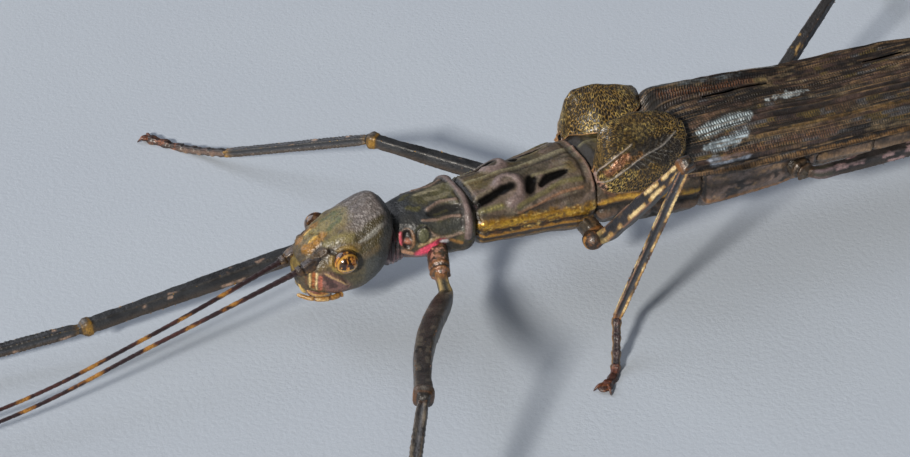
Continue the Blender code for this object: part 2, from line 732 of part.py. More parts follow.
# ---------------------------------------------------------------- the whole insect
def main():
    """Clears the scene and builds every part."""
    for leftover in list(bpy.data.objects):
        bpy.data.objects.remove(leftover, do_unlink=True)
    shop = Workshop()
    plate = material("olive_cuticle", (0.10, 0.095, 0.05), 0.45)
    abdomen_plate = material("brown_abdomen_cuticle", (0.14, 0.10, 0.08), 0.5)
    finishes = {
        "plate": plate,
        "limb": material("dark_limb_cuticle", (0.035, 0.032, 0.03), 0.45),
        "foot": material("red_brown_foot_cuticle", (0.10, 0.035, 0.025), 0.5),
        "eye": material("eye_lens", (0.45, 0.2, 0.05), 0.15),
        "mouth": material("mouthpart_cuticle", (0.2, 0.1, 0.05), 0.4),
    }
    build_head(shop, finishes)
    build_antennae(shop, material("antenna_cuticle", (0.055, 0.018, 0.014), 0.4))
    build_thorax(shop, plate)
    build_abdomen(shop, abdomen_plate)
    trunk_cutters = {
        "fore": [trunk_cutter(shop, "prothorax_cutter", PRONOTUM)],
        "mid": [trunk_cutter(shop, "mesothorax_cutter", MESONOTUM)],
        "hind": [trunk_cutter(shop, "median_cutter", MEDIAN)],
    }
    thorax_cutters = [*trunk_cutters["mid"], trunk_cutter(shop, "metathorax_cutter", METANOTUM)]
    build_tegmina(shop, material("tegmen_membrane", (0.12, 0.09, 0.03), 0.45), thorax_cutters)
    build_hindwings(shop, material("folded_wing_membrane", (0.09, 0.06, 0.045), 0.5))
    for name, leg in LEGS.items():
        build_leg(shop, name, leg, finishes, trunk_cutters[leg.kind])


if __name__ == "__main__":
    main()
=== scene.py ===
"""Looks of the giant stick insect: every plate, limb and wing of the animal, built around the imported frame.

Lengths are body millimetres unless a name says otherwise. x runs from the head (low) to the tail, y from
the left side (low) to the right, and z up from the floor. STAND moves them to the frame, and MM makes them
metres.
"""

import logging
import math
from collections.abc import Callable, Iterable, Sequence
from dataclasses import dataclass, field
from enum import Enum

import bmesh
import bpy
import numpy as np
from mathutils import Euler, Matrix, Vector


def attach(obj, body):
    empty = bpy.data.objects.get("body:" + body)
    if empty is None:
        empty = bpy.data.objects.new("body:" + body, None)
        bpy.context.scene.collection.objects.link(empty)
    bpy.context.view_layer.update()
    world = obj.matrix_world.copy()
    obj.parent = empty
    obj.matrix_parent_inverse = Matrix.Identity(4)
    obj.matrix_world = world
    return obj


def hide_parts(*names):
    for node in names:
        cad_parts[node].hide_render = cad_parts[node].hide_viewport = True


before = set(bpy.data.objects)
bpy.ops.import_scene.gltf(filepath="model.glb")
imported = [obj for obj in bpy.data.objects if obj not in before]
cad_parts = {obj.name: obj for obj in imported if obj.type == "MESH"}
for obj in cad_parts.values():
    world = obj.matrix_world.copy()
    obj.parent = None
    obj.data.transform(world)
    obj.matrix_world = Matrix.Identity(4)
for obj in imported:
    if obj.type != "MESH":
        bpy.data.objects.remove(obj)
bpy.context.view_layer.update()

LOG = logging.getLogger("giant_stick_insect")
MM = 0.001
STAND = np.array((6.4, 13.7, 0.0))
SIDES = ((-1, "left"), (1, "right"))
# the random values: the primes of their hash, and how much fainter each finer layer is
HASH_PRIMES = np.array((374761393, 668265263, 1440662683))
SEED_PRIME = 362437
MIX_PRIME = 1274126177
WORD = 0xFFFFFFFF
HALF_WORD = 0xFFFF
FAINTER = 1.6
# a point closer than this to the next, in mm, is the same one
SAME_POINT = 1e-4
CHITIN_IOR = 1.56
# a mark up to this half width is laid on the skin at steps of this length, in mm
NARROW_MARK = 0.75
LAY_STEP = 0.6
# each end of a closed form: what is left of its size and how far it has bulged, ring by ring
CAP_RINGS = ((0.9, 0.5), (0.5, 0.9), (0.0, 1.0))
LIMB_DOME = 0.35

Point = tuple[float, float, float]
Path = Sequence[Point]


# ---------------------------------------------------------------- numbers and colours
def linear(code: str) -> np.ndarray:
    """Turns a sRGB hex colour to linear light.

    Args:
        code: the colour, as "#rrggbb".

    Returns:
        Its three linear channels.
    """
    channels = np.array([int(code[i : i + 2], 16) / 255.0 for i in (1, 3, 5)])
    return np.where(channels <= 0.04045, channels / 12.92, ((channels + 0.055) / 1.055) ** 2.4)


def rgba(code: str) -> tuple[float, ...]:
    """The linear colour of a hex code with full opacity, for a shader's socket."""
    return (*(float(c) for c in linear(code)), 1.0)


def ease(low: float, high: float, value: np.ndarray) -> np.ndarray:
    """Rises smoothly from 0 at low to 1 at high."""
    share = np.clip((value - low) / (high - low), 0.0, 1.0)
    return share * share * (3.0 - 2.0 * share)


def bell(value: np.ndarray, width: np.ndarray | float) -> np.ndarray:
    """A smooth hill that is 1 where value is 0, and falls off over width on both sides."""
    return np.exp(-((value / width) ** 2))


def keels(angle: np.ndarray) -> np.ndarray:
    """1 at the four keels of a shaft and 0 halfway between them."""
    return np.abs(np.cos(2 * (angle - math.pi / 4)))


def turned_from(angle: np.ndarray, middle: float) -> np.ndarray:
    """How far each angle is from the middle one, by the shorter way round."""
    return np.abs((angle - middle + math.pi) % (2 * math.pi) - math.pi)


def blend(a: np.ndarray, b: np.ndarray, share: np.ndarray) -> np.ndarray:
    """The mix of a and b, with share of b."""
    return a + (b - a) * share


def superpower(value: np.ndarray, exponent: np.ndarray) -> np.ndarray:
    """value raised to 2 / exponent with its sign kept, which squares or peaks an ellipse."""
    return np.sign(value) * np.abs(value) ** (2.0 / exponent)


def unit(vectors: np.ndarray) -> np.ndarray:
    """The vectors at length 1."""
    return vectors / np.maximum(np.linalg.norm(vectors, axis=-1, keepdims=True), 1e-9)


def xyz(x: np.ndarray, y: np.ndarray | float = 0, z: np.ndarray | float = 0) -> np.ndarray:
    """Points from their three coordinates, each an array or a number."""
    return np.stack(np.broadcast_arrays(x, y, z), axis=-1)


def gone_along(points: np.ndarray) -> np.ndarray:
    """The distance to each point along the line through all of them."""
    return np.concatenate([[0.0], np.cumsum(np.linalg.norm(np.diff(points, axis=0), axis=1))])


def length_of(points: np.ndarray) -> float:
    """The length of the line through the points."""
    return float(np.linalg.norm(np.diff(points, axis=0), axis=1).sum())


def grain(points: np.ndarray, size: float, seed: int = 0) -> np.ndarray:
    """Smooth random values over space, the same on each run.

    Args:
        points: any array of points, in mm.
        size: the spacing of the random values, in mm.
        seed: picks another pattern.

    Returns:
        One value from -1 to 1 for each point.
    """
    cell = points / size
    corner = np.floor(cell).astype(np.int64)
    share = ease(0.0, 1.0, cell - corner)
    total = np.zeros(points.shape[:-1])
    for step in np.ndindex(2, 2, 2):
        key = ((corner + np.array(step)) * HASH_PRIMES).sum(axis=-1)
        key = (key + seed * SEED_PRIME) & WORD
        key = ((key ^ (key >> 13)) * MIX_PRIME) & WORD
        key = (key ^ (key >> 16)) & HALF_WORD
        weight = np.prod(np.where(np.array(step) == 1, share, 1.0 - share), axis=-1)
        total += weight * (2 * key / HALF_WORD - 1.0)
    return total


def cloud(points: np.ndarray, size: float, seed: int = 0, octaves: int = 3) -> np.ndarray:
    """Random values with finer detail laid over the coarse, from about -1 to 1.

    Args:
        points: any array of points, in mm.
        size: the spacing of the coarsest values, in mm.
        seed: picks another pattern.
        octaves: how many times the detail is halved.

    Returns:
        One value for each point.
    """
    total, reach = np.zeros(points.shape[:-1]), 0.0
    for octave in range(octaves):
        total += grain(points, size / 2**octave, seed + 17 * octave) / FAINTER**octave
        reach += 1.0 / FAINTER**octave
    return total / reach * FAINTER


def hermite(t: np.ndarray, a: np.ndarray, b: np.ndarray, slope_a: np.ndarray,
            slope_b: np.ndarray) -> np.ndarray:
    """The smooth way from a to b at the share t, which leaves and arrives with the two slopes.

    Args:
        t: the share of the way.
        a: where it starts.
        b: where it ends.
        slope_a: its slope at the start.
        slope_b: its slope at the end.

    Returns:
        The place at t.
    """
    return (
        a * (2 * t**3 - 3 * t**2 + 1)
        + b * (3 * t**2 - 2 * t**3)
        + slope_a * (t**3 - 2 * t**2 + t)
        + slope_b * (t**3 - t**2)
    )


class Curve:
    """A smooth line through a table of values that never overshoots them."""

    def __init__(self, at: Sequence[float], values: np.ndarray) -> None:
        """Keeps the table and works out its slopes.

        Args:
            at: the rising places of the rows.
            values: one row of values for each place.
        """
        self.at = np.asarray(at, float)
        self.values = np.asarray(values, float).reshape(len(self.at), -1)
        rise = np.diff(self.values, axis=0) / np.diff(self.at)[:, None]
        self.slopes = np.zeros_like(self.values)
        both = rise[:-1] * rise[1:]
        total = np.where(both > 0, rise[:-1] + rise[1:], 1.0)
        self.slopes[1:-1] = np.where(both > 0, 2.0 * both / total, 0.0)
        self.slopes[0], self.slopes[-1] = rise[0] * 0.6, rise[-1] * 0.6

    @classmethod
    def of(cls, rows: Sequence[Sequence[float]]) -> "Curve":
        """The curve of a table whose rows each start with their place."""
        data = np.array(rows, float)
        return cls(data[:, 0], data[:, 1:])

    def __call__(self, where: np.ndarray) -> np.ndarray:
        """The values at these places, one row each.

        Args:
            where: the places.

        Returns:
            The values there, one row for each place.
        """
        where = np.clip(np.atleast_1d(np.asarray(where, float)), self.at[0], self.at[-1])
        span = np.clip(np.searchsorted(self.at, where, side="right") - 1, 0, len(self.at) - 2)
        width = (self.at[span + 1] - self.at[span])[:, None]
        t = (where[:, None] - self.at[span][:, None]) / width
        ends = self.values[span], self.values[span + 1]
        return hermite(t, *ends, self.slopes[span] * width, self.slopes[span + 1] * width)


def spline(points: Path, count: int) -> np.ndarray:
    """Evenly spaced points along a smooth curve through the given ones.

    Args:
        points: the points to pass through.
        count: how many points to return.

    Returns:
        The count points, one row each.
    """
    knots = np.array([points[0], *points, points[-1]], float)
    lengths = gone_along(knots[1:-1])
    where = np.linspace(0.0, lengths[-1], count)
    span = np.clip(np.searchsorted(lengths, where, side="right") - 1, 0, len(points) - 2)
    t = ((where - lengths[span]) / (lengths[span + 1] - lengths[span]))[:, None]
    before, a, b, beyond = (knots[span + k] for k in range(4))
    return hermite(t, a, b, (b - before) / 2, (beyond - a) / 2)


def path_distance(points: np.ndarray, path: np.ndarray) -> tuple[np.ndarray, np.ndarray]:
    """How far each point is from a path of straight lengths.

    Args:
        points: any array of points.
        path: the path's corners, one row each. One corner alone is a spot.

    Returns:
        The distances, and how far along the path the nearest place is, from 0 to 1.
    """
    if len(path) == 1:
        return np.linalg.norm(points - path[0], axis=-1), np.full(points.shape[:-1], 0.5)
    best = np.full(points.shape[:-1], np.inf)
    along = np.zeros(points.shape[:-1])
    for i, (a, b) in enumerate(zip(path, path[1:])):
        line = b - a
        t = np.clip(((points - a) @ line) / max(float(line @ line), 1e-12), 0.0, 1.0)
        far = np.linalg.norm(points - (a + t[..., None] * line), axis=-1)
        nearer = far < best
        best = np.where(nearer, far, best)
        along = np.where(nearer, (i + t) / (len(path) - 1), along)
    return best, along


def near_path(points: np.ndarray, path: Path, near: float, far: float) -> np.ndarray:
    """1 up to near mm from the path, 0 beyond far mm and a smooth fall between them."""
    return 1 - ease(near, far, path_distance(points, np.array(path))[0])


def circle(centre: Point, radii: Point, count: int = 24) -> Path:
    """A closed path round centre in the plane of x and z, or one that leans with a y radius.

    Args:
        centre: its centre.
        radii: its radii along x, y and z.
        count: how many steps go round.

    Returns:
        The points, the last one the same as the first.
    """
    turns = np.linspace(0.0, 2.0 * math.pi, count + 1)
    waves = (math.cos, math.sin, math.sin)
    return [tuple(c + r * wave(turn) for c, r, wave in zip(centre, radii, waves)) for turn in turns]


# ---------------------------------------------------------------- shader nodes
def add_node(tree: bpy.types.NodeTree, kind: str, inputs: dict | None = None,
             **settings: object) -> bpy.types.Node:
    """Adds one node with its settings, values and links.

    Args:
        tree: the tree that gets the node.
        kind: the node's type.
        inputs: for each input, by name or number, its value or the socket that feeds it.
        **settings: the node's own properties.

    Returns:
        The new node.
    """
    made = tree.nodes.new(kind)
    for name, value in settings.items():
        setattr(made, name, value)
    for key, value in (inputs or {}).items():
        if isinstance(value, bpy.types.NodeSocket):
            tree.links.new(value, made.inputs[key])
        else:
            made.inputs[key].default_value = value
    return made


def per_metre(size: float) -> float:
    """The scale of a texture whose features are size millimetres across."""
    return 1.0 / (size * MM)


Socket = bpy.types.NodeSocket


class Shade:
    """A new material's node tree, with one short call for each kind of node that the finishes need.

    It reads the place in mm, and the point attributes "tint" and "feel" that each skin carries.
    """

    def __init__(self, name: str) -> None:
        """Makes the empty material and reads what every skin carries.

        Args:
            name: the material's name.
        """
        self.material = bpy.data.materials.new(name)
        self.material.use_nodes = True
        self.tree = self.material.node_tree
        self.tree.nodes.clear()
        self.place = self.node("ShaderNodeTexCoord").outputs["Object"]
        self.tint = self.node("ShaderNodeAttribute", attribute_name="tint").outputs["Color"]
        feel = self.node("ShaderNodeAttribute", attribute_name="feel").outputs["Color"]
        self.rough, self.gilt, self.pitted = self.node("ShaderNodeSeparateColor", {0: feel}).outputs

    def node(self, kind: str, inputs: dict | None = None, **settings: object) -> bpy.types.Node:
        """Adds one node to this material."""
        return add_node(self.tree, kind, inputs, **settings)

    def math(self, operation: str, *values: float | Socket, clamp: bool = False) -> Socket:
        """The result of a sum, kept between 0 and 1 when clamp is True."""
        inputs = dict(enumerate(values))
        return self.node("ShaderNodeMath", inputs, operation=operation, use_clamp=clamp).outputs[0]

    def remap(self, value: Socket, low: float, high: float, first: float, last: float) -> Socket:
        """The value's way from low to high, turned smoothly into first to last."""
        inputs = dict(enumerate((value, low, high, first, last)))
        return self.node("ShaderNodeMapRange", inputs, interpolation_type="SMOOTHSTEP").outputs[0]

    def noise(self, size: float, detail: float = 4.0, vector: Socket | None = None) -> bpy.types.Node:
        """Noise with features of this size in mm, or of 1 in the units of vector times it.

        Args:
            size: the size of its features.
            detail: how many finer layers it has.
            vector: the coordinates that it reads, or None for the place in mm.

        Returns:
            The noise node.
        """
        scale = per_metre(size) if vector is None else 1.0 / size
        inputs = {"Vector": vector or self.place, "Scale": scale, "Detail": detail, "Roughness": 0.6}
        return self.node("ShaderNodeTexNoise", inputs)

    def stretched(self, vector: Socket, scale: Point) -> Socket:
        """The vector times a scale."""
        return self.node("ShaderNodeMapping", {"Vector": vector, "Scale": scale}).outputs[0]

    def mix(self, share: Socket, first: object, last: object) -> Socket:
        """A colour between two."""
        return self.node("ShaderNodeMix", {0: share, 6: first, 7: last}, data_type="RGBA").outputs[2]

    def dimmed(self, colour: Socket, light: Socket) -> Socket:
        """A colour times a brightness."""
        return self.node("ShaderNodeVectorMath", {0: colour, 1: light}, operation="MULTIPLY").outputs[0]

    def bump(self, height: Socket, depth: float, below: Socket | None = None, invert: bool = False) -> Socket:
        """The normal after a bump of this depth in mm, over the one below it.

        Args:
            height: the height from 0 to 1.
            depth: the height of 1, in mm.
            below: the normal that it is laid over.
            invert: True turns hills to hollows.

        Returns:
            The new normal.
        """
        inputs = {"Height": height, "Strength": 1.0, "Distance": depth * MM}
        if below:
            inputs["Normal"] = below
        return self.node("ShaderNodeBump", inputs, invert=invert).outputs[0]

    def done(self, **inputs: object) -> bpy.types.Material:
        """Ends in the shader, whose inputs are named with _ for a blank.

        Args:
            **inputs: the shader's values and links.

        Returns:
            The finished material.
        """
        named = {key.replace("_", " "): value for key, value in inputs.items()}
        shader = self.node("ShaderNodeBsdfPrincipled", {"IOR": CHITIN_IOR, **named})
        self.node("ShaderNodeOutputMaterial", {"Surface": shader.outputs[0]})
        return self.material


@dataclass(frozen=True)
class Finish:
    """What the surface of a piece looks like.

    Attributes:
        name: the material's name.
    """

    name: str

    def material(self) -> bpy.types.Material:
        """The finish's material, made on the first call."""
        return bpy.data.materials.get(self.name) or self.shaded(Shade(self.name))

    def shaded(self, shade: Shade) -> bpy.types.Material:
        """Builds the finish with the nodes of a new material, which each kind of finish does its own way."""
        raise NotImplementedError


@dataclass(frozen=True)
class Cuticle(Finish):
    """Insect cuticle: chitin, tanned hard, with a thin waxy skin.

    The colour lies in the plate, in flecks and clouds. The wax gives a broken satin gleam, and the granules
    and fine creases break it up.

    Attributes:
        granule: spacing of the granules, in mm.
        depth: height of the granules, in mm.
        fleck: size of the colour flecks, in mm.
        fleck_tint: colour of the flecks.
        fleck_strength: how strongly the flecks show, from 0 to 1.
        crease: stretch of the fine creases along x, y and z. 1 is round.
        crease_depth: depth of the creases, in mm.
        wax: weight of the clear waxy layer.
        gleam: specular level of the plate.
    """

    granule: float = 0.34
    depth: float = 0.035
    fleck: float = 0.5
    fleck_tint: str = "#1c1812"
    fleck_strength: float = 0.45
    crease: Point = (1.0, 1.0, 1.0)
    crease_depth: float = 0.03
    wax: float = 0.3
    gleam: float = 0.5

    def shaded(self, shade: Shade) -> bpy.types.Material:
        """Granules, flecks and creases over the skin's own colour.

        Args:
            shade: the new material's nodes.

        Returns:
            The finished material.
        """
        flecks = shade.noise(self.fleck).outputs[0]
        share = shade.remap(flecks, 0.5, 0.68, 0.0, self.fleck_strength)
        flecked = shade.mix(share, shade.tint, rgba(self.fleck_tint))
        granules = shade.node("ShaderNodeTexVoronoi",
                              {"Vector": shade.place, "Scale": per_metre(self.granule)})
        grains = granules.outputs["Distance"]
        colour = shade.dimmed(flecked, shade.remap(grains, 0.0, 0.75, 1.16, 0.8))
        creased = shade.stretched(shade.place, tuple(per_metre(0.6) * s for s in self.crease))
        creases = shade.noise(1.0, 5.0, creased).outputs[0]
        rough = shade.math("MULTIPLY_ADD", creases, 0.3, shade.rough)
        normal = shade.bump(creases, self.crease_depth * 2)
        normal = shade.bump(shade.math("MULTIPLY", grains, shade.pitted), self.depth * 2, normal, True)
        rough = shade.math("ADD", rough, -0.15, clamp=True)
        return shade.done(Base_Color=colour, Metallic=shade.gilt, Roughness=rough,
                          Specular_IOR_Level=self.gleam, Coat_Weight=self.wax, Coat_Roughness=0.22,
                          Normal=normal)


# ---------------------------------------------------------------- skins
@dataclass(frozen=True)
class Mark:
    """One painted or raised mark on a skin: a stripe, a ridge, a slot or, with one point, a spot.

    Attributes:
        path: the mark's middle line, in body mm, on the left side where it is on both.
        width: half its width, in mm.
        tint: its colour, or None to leave the colour.
        strength: how far the colour goes to the tint.
        relief: height of the middle over the skin, in mm. Below 0 it is a groove.
        ragged: how far the edge wanders, in mm.
        taper: 1 brings both ends to a point, 0 keeps the width.
        soft: share of the width over which the edge fades.
        rough: change of the roughness.
        gilt: metallic gleam that it gives.
        both: True when the other side has the same mark.
    """

    path: Path
    width: float
    tint: str | None = None
    strength: float = 1.0
    relief: float = 0.0
    ragged: float = 0.25
    taper: float = 0.0
    soft: float = 0.5
    rough: float = 0.0
    gilt: float = 0.0
    both: bool = True


class Skin:
    """A sheet of points that is carved and painted, and then becomes a mesh."""

    def __init__(self, points: np.ndarray, tint: str, rough: float = 0.5, round_about: bool = True) -> None:
        """Takes the plain shape.

        Args:
            points: rows of points, one row for each ring or rib, in body mm.
            tint: the ground colour.
            rough: the ground roughness.
            round_about: True when a row's last point is its first one again.
        """
        self.points = np.asarray(points, float)
        self.base = self.points.copy()
        self.round_about = round_about
        shape = self.points.shape[:2]
        self.tint = np.tile(linear(tint), (*shape, 1))
        self.rough = np.full(shape, rough)
        self.gilt = np.zeros(shape)
        self.pitted = np.ones(shape)
        self.lift = np.zeros(shape)
        self.normals = self._normals()
        # the distances along and around the sheet become its UV map
        self.along = np.tile(gone_along(self.points.mean(axis=1))[:, None], (1, shape[1]))
        across = np.linalg.norm(np.diff(self.points, axis=1), axis=2).max(axis=0)
        self.around = np.tile(np.concatenate([[0.0], np.cumsum(across)]), (shape[0], 1))

    def _normals(self) -> np.ndarray:
        """The outward direction at each point.

        Returns:
            One direction of length 1 for each point.
        """
        down = np.gradient(self.points, axis=0)
        if self.round_about:
            ring = self.points[:, :-1]
            across = np.roll(ring, -1, axis=1) - np.roll(ring, 1, axis=1)
            across = np.concatenate([across, across[:, :1]], axis=1)
        else:
            across = np.gradient(self.points, axis=1)
        normals = unit(np.cross(across, down))
        if self.round_about:
            outward = self.points - self.points[:, :-1].mean(axis=1, keepdims=True)
            if (normals * outward).sum() < 0:
                normals = -normals
            for row, near in ((0, 1), (-1, -2)):
                if np.ptp(self.points[row], axis=0).max() < 1e-6:
                    normals[row] = unit(normals[near].mean(axis=0))
        elif normals[..., 2].sum() < 0:
            normals = -normals
        return normals

    def shear(self, forward: np.ndarray) -> None:
        """Moves each point toward the head by so many mm.

        Args:
            forward: how far each point moves, in mm.
        """
        self.points[..., 0] -= forward
        self.base = self.points.copy()
        self.normals = self._normals()

    def seen_from_left(self) -> np.ndarray:
        """The plain points with the right side folded onto the left, for marks on both sides.

        Returns:
            The folded points.
        """
        folded = self.base.copy()
        folded[..., 1] = -np.abs(folded[..., 1])
        return folded

    def paint(self, share: np.ndarray, tint: str | None, rough: float = 0.0, gilt: float = 0.0) -> None:
        """Lays a colour over the skin.

        Args:
            share: how much of it each point gets, from 0 to 1.
            tint: the colour, or None to leave it.
            rough: change of the roughness where share is 1.
            gilt: metallic gleam where share is 1.
        """
        if tint:
            self.tint = blend(self.tint, linear(tint), share[..., None])
        self.rough = self.rough + rough * share
        self.gilt = blend(self.gilt, np.full_like(self.gilt, gilt), share) if gilt or tint else self.gilt

    def mark(self, marks: Iterable[Mark]) -> None:
        """Paints and raises each mark in turn.

        Args:
            marks: the marks.
        """
        folded = self.seen_from_left()
        wander = grain(folded, 0.9, 5) * 0.6 + grain(folded, 0.4, 6) * 0.4
        for one in marks:
            where = folded if one.both else self.base
            far, along = path_distance(where, self.laid(one, where))
            width = one.width * np.maximum(1.0 - one.taper * np.abs(2 * along - 1) ** 2, 0.05)
            share = 1.0 - ease(1.0 - one.soft, 1.0 + one.soft, (far + wander * one.ragged) / width)
            self.paint(share * one.strength, one.tint, one.rough, one.gilt)
            if one.relief:
                self.lift += one.relief * bell(far, width)

    @staticmethod
    def laid(one: Mark, where: np.ndarray) -> np.ndarray:
        """The mark's path as a smooth line that lies on the skin, for a mark that is narrow.

        Args:
            one: the mark.
            where: the skin's points.

        Returns:
            The path's points, one row each.
        """
        path = np.array(one.path, float)
        if len(path) == 1 or one.width > NARROW_MARK:
            return path
        dense = spline(one.path, max(int(length_of(path) / LAY_STEP), 4))
        flat = where.reshape(-1, 3)
        near = np.array([flat[np.argmin(((flat - point) ** 2).sum(axis=1))] for point in dense])
        near[1:-1] = (near[:-2] + 2 * near[1:-1] + near[2:]) / 4
        return near

    def clouds(self, size: float, tint: str, strength: float, level: float = 0.0, seed: int = 0,
               stretch: Point | float = 1.0, only: np.ndarray | float = 1.0, fade: float = 0.35) -> None:
        """Paints irregular patches.

        Args:
            size: their size, in mm.
            tint: their colour.
            strength: how far the colour goes to the tint.
            level: the noise level above which a patch starts. Lower makes more of them.
            seed: picks another pattern.
            stretch: how many times longer they are along x, or along x, y and z.
            only: where they may be, from 0 to 1.
            fade: width of their soft edge, as noise.
        """
        self.paint(ease(level, level + fade, self._cloud(size, seed, stretch)) * strength * only, tint)

    def weather(self, *rows: tuple) -> None:
        """Paints several kinds of patches, each a row of what clouds takes."""
        for row in rows:
            self.clouds(*row)

    def roughen(self, size: float, height: float, seed: int = 0, stretch: Point | float = 1.0,
                only: np.ndarray | float = 1.0) -> None:
        """Raises and lowers the skin by random heights, of this size and height in mm."""
        self.lift += self._cloud(size, seed, stretch) * height * only

    def _cloud(self, size: float, seed: int, stretch: Point | float) -> np.ndarray:
        """Random values over the skin, stretched along x or along all three axes."""
        longer = stretch if isinstance(stretch, tuple) else (stretch, 1.0, 1.0)
        return cloud(self.base / np.array(longer), size, seed)

    def carved(self) -> np.ndarray:
        """The points with their relief, in body mm.

        Returns:
            The points in body mm.
        """
        lift = self.lift.copy()
        if self.round_about:
            lift[:, -1] = lift[:, 0]
            for row in (0, -1):
                if np.ptp(self.points[row], axis=0).max() < 1e-6:
                    lift[row] = lift[row].mean()
        return self.points + self.normals * lift[..., None]

    def mesh(self, name: str, lowest: float | None = None, thickness: float = 0.0) -> bpy.types.Mesh:
        """Makes the mesh.

        Args:
            name: the mesh's name.
            lowest: height below which no point goes, in mm, for a flat sole.
            thickness: for an open sheet, the wall that it gets, in mm.

        Returns:
            The mesh in frame metres, with its UV map in millimetres and its two attributes.
        """
        rows, columns = self.points.shape[:2]
        points = self.carved()
        if lowest is not None:
            points[..., 2] = np.maximum(points[..., 2], lowest)
        bm = bmesh.new()
        bmesh.ops.create_grid(bm, x_segments=columns - 1, y_segments=rows - 1, size=1.0)
        made = bpy.data.meshes.new(name)
        bm.to_mesh(made)
        bm.free()
        made.vertices.foreach_set("co", ((points + STAND) * MM).ravel())
        corner = np.empty(len(made.loops), int)
        made.loops.foreach_get("vertex_index", corner)
        spread = np.stack([self.around.ravel()[corner], self.along.ravel()[corner]], axis=1)
        made.uv_layers.new(name="UVMap").data.foreach_set("uv", spread.ravel())
        ones = np.ones((rows * columns, 1))
        feel = np.stack([self.rough, self.gilt, self.pitted], axis=-1).reshape(-1, 3)
        for title, values in (("tint", self.tint.reshape(-1, 3)), ("feel", feel)):
            layer = made.color_attributes.new(title, "FLOAT_COLOR", "POINT")
            layer.data.foreach_set("color", np.concatenate([np.clip(values, 0, 1), ones], axis=1).ravel())
        bm = bmesh.new()
        bm.from_mesh(made)
        if thickness:
            turn_faces(bm, np.array(self.normals).reshape(-1, 3))
            bmesh.ops.solidify(bm, geom=bm.faces, thickness=thickness * MM)
        else:
            bmesh.ops.remove_doubles(bm, verts=bm.verts, dist=SAME_POINT * MM)
            bmesh.ops.dissolve_degenerate(bm, edges=bm.edges, dist=SAME_POINT / 10 * MM)
            bmesh.ops.recalc_face_normals(bm, faces=bm.faces)
        bm.to_mesh(made)
        bm.free()
        made.shade_smooth()
        return made


def turn_faces(bm: bmesh.types.BMesh, outward: np.ndarray) -> None:
    """Turns all faces of an open sheet the way that its points' outward directions say.

    Args:
        bm: the sheet.
        outward: the outward direction at each of its points.
    """
    bm.normal_update()
    bm.verts.ensure_lookup_table()
    total = sum(vert.normal.dot(Vector(outward[vert.index])) for vert in bm.verts)
    if total < 0:
        bmesh.ops.reverse_faces(bm, faces=bm.faces)


def put(name: str, shape: Skin | bpy.types.Mesh, finish: Finish, slot: str, *nodes: str) -> None:
    """Puts a finished mesh in the scene as a piece of the model.

    Args:
        name: the piece's name.
        shape: its skin, or its mesh in frame metres.
        finish: its finish.
        slot: not used.
        *nodes: the CAD nodes that it stands for.
    """
    mesh = shape.mesh(name) if isinstance(shape, Skin) else shape
    made = bpy.data.objects.new(name, mesh)
    bpy.context.scene.collection.objects.link(made)
    mesh.materials.clear()
    mesh.materials.append(finish.material())
    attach(made, "root")
    if nodes:
        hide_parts(*nodes)
    LOG.info("%s: %d faces", name, len(mesh.polygons))


def joined(name: str, meshes: Sequence[bpy.types.Mesh]) -> bpy.types.Mesh:
    """One mesh that holds all of these, which are removed.

    Args:
        name: the new mesh's name.
        meshes: the meshes.

    Returns:
        The new mesh.
    """
    bm = bmesh.new()
    for one in meshes:
        bm.from_mesh(one)
    made = bpy.data.meshes.new(name)
    bm.to_mesh(made)
    bm.free()
    made.shade_smooth()
    for one in meshes:
        bpy.data.meshes.remove(one)
    return made


def body_rings(table: Sequence[Sequence[float]], rows: int, columns: int) -> np.ndarray:
    """Rings of the trunk, from the belly round by the right side and over the back, closed at both ends.

    Args:
        table: rows of x, half width, top, bottom, roof power and keel power.
        rows: how many rings there are, evenly spaced from the first row to the last.
        columns: how many steps go round.

    Returns:
        The rings with an end point at each end, the last column the same as the first.
    """
    places = np.linspace(table[0][0], table[-1][0], rows)
    half, top, bottom, roof, keel = (c[:, None] for c in Curve.of(table)(places).T)
    angle = np.linspace(-math.pi / 2, 1.5 * math.pi, columns + 1)[None, :]
    centre = (top + bottom) / 2
    side, up = np.cos(angle), np.sin(angle)
    power = np.where(up > 0, roof, keel)
    z = centre + (top - bottom) / 2 * superpower(up, power)
    rings = xyz(places[:, None], half * superpower(side, power), z)
    rings[:, -1] = rings[:, 0]
    return close_ends(rings)


def close_ends(rings: np.ndarray, dome: float = 0.12) -> np.ndarray:
    """Adds two shrinking rings and a point at each end, which bulge by dome times the ring's size.

    Args:
        rings: the rings, one row each.
        dome: how far the ends bulge, as a share of the ring's size.

    Returns:
        The rings with three more at each end.
    """
    caps = []
    for last, near in ((rings[0], rings[1]), (rings[-1], rings[-2])):
        middle = last[:-1].mean(axis=0)
        size = np.linalg.norm(last - middle, axis=1).mean()
        out = unit(middle - near[:-1].mean(axis=0)) * size * dome
        caps.append(np.array([middle + (last - middle) * keep + out * rise for keep, rise in CAP_RINGS]))
    return np.concatenate([caps[0][::-1], rings, caps[1]])


@dataclass(frozen=True)
class Swept:
    """A limb's rings with the distance and angle of each point."""

    points: np.ndarray
    along: np.ndarray
    angle: np.ndarray


def carried(tangents: np.ndarray) -> np.ndarray:
    """For each tangent the direction across it, turned as little as can be from one to the next.

    Args:
        tangents: the path's direction at each ring.

    Returns:
        The directions, one row each.
    """
    across = np.zeros_like(tangents)
    now = np.cross(tangents[0], (0.0, 0.0, 1.0))
    for i, along in enumerate(tangents):
        now = unit(now - along * (now @ along))
        across[i] = now
    return across


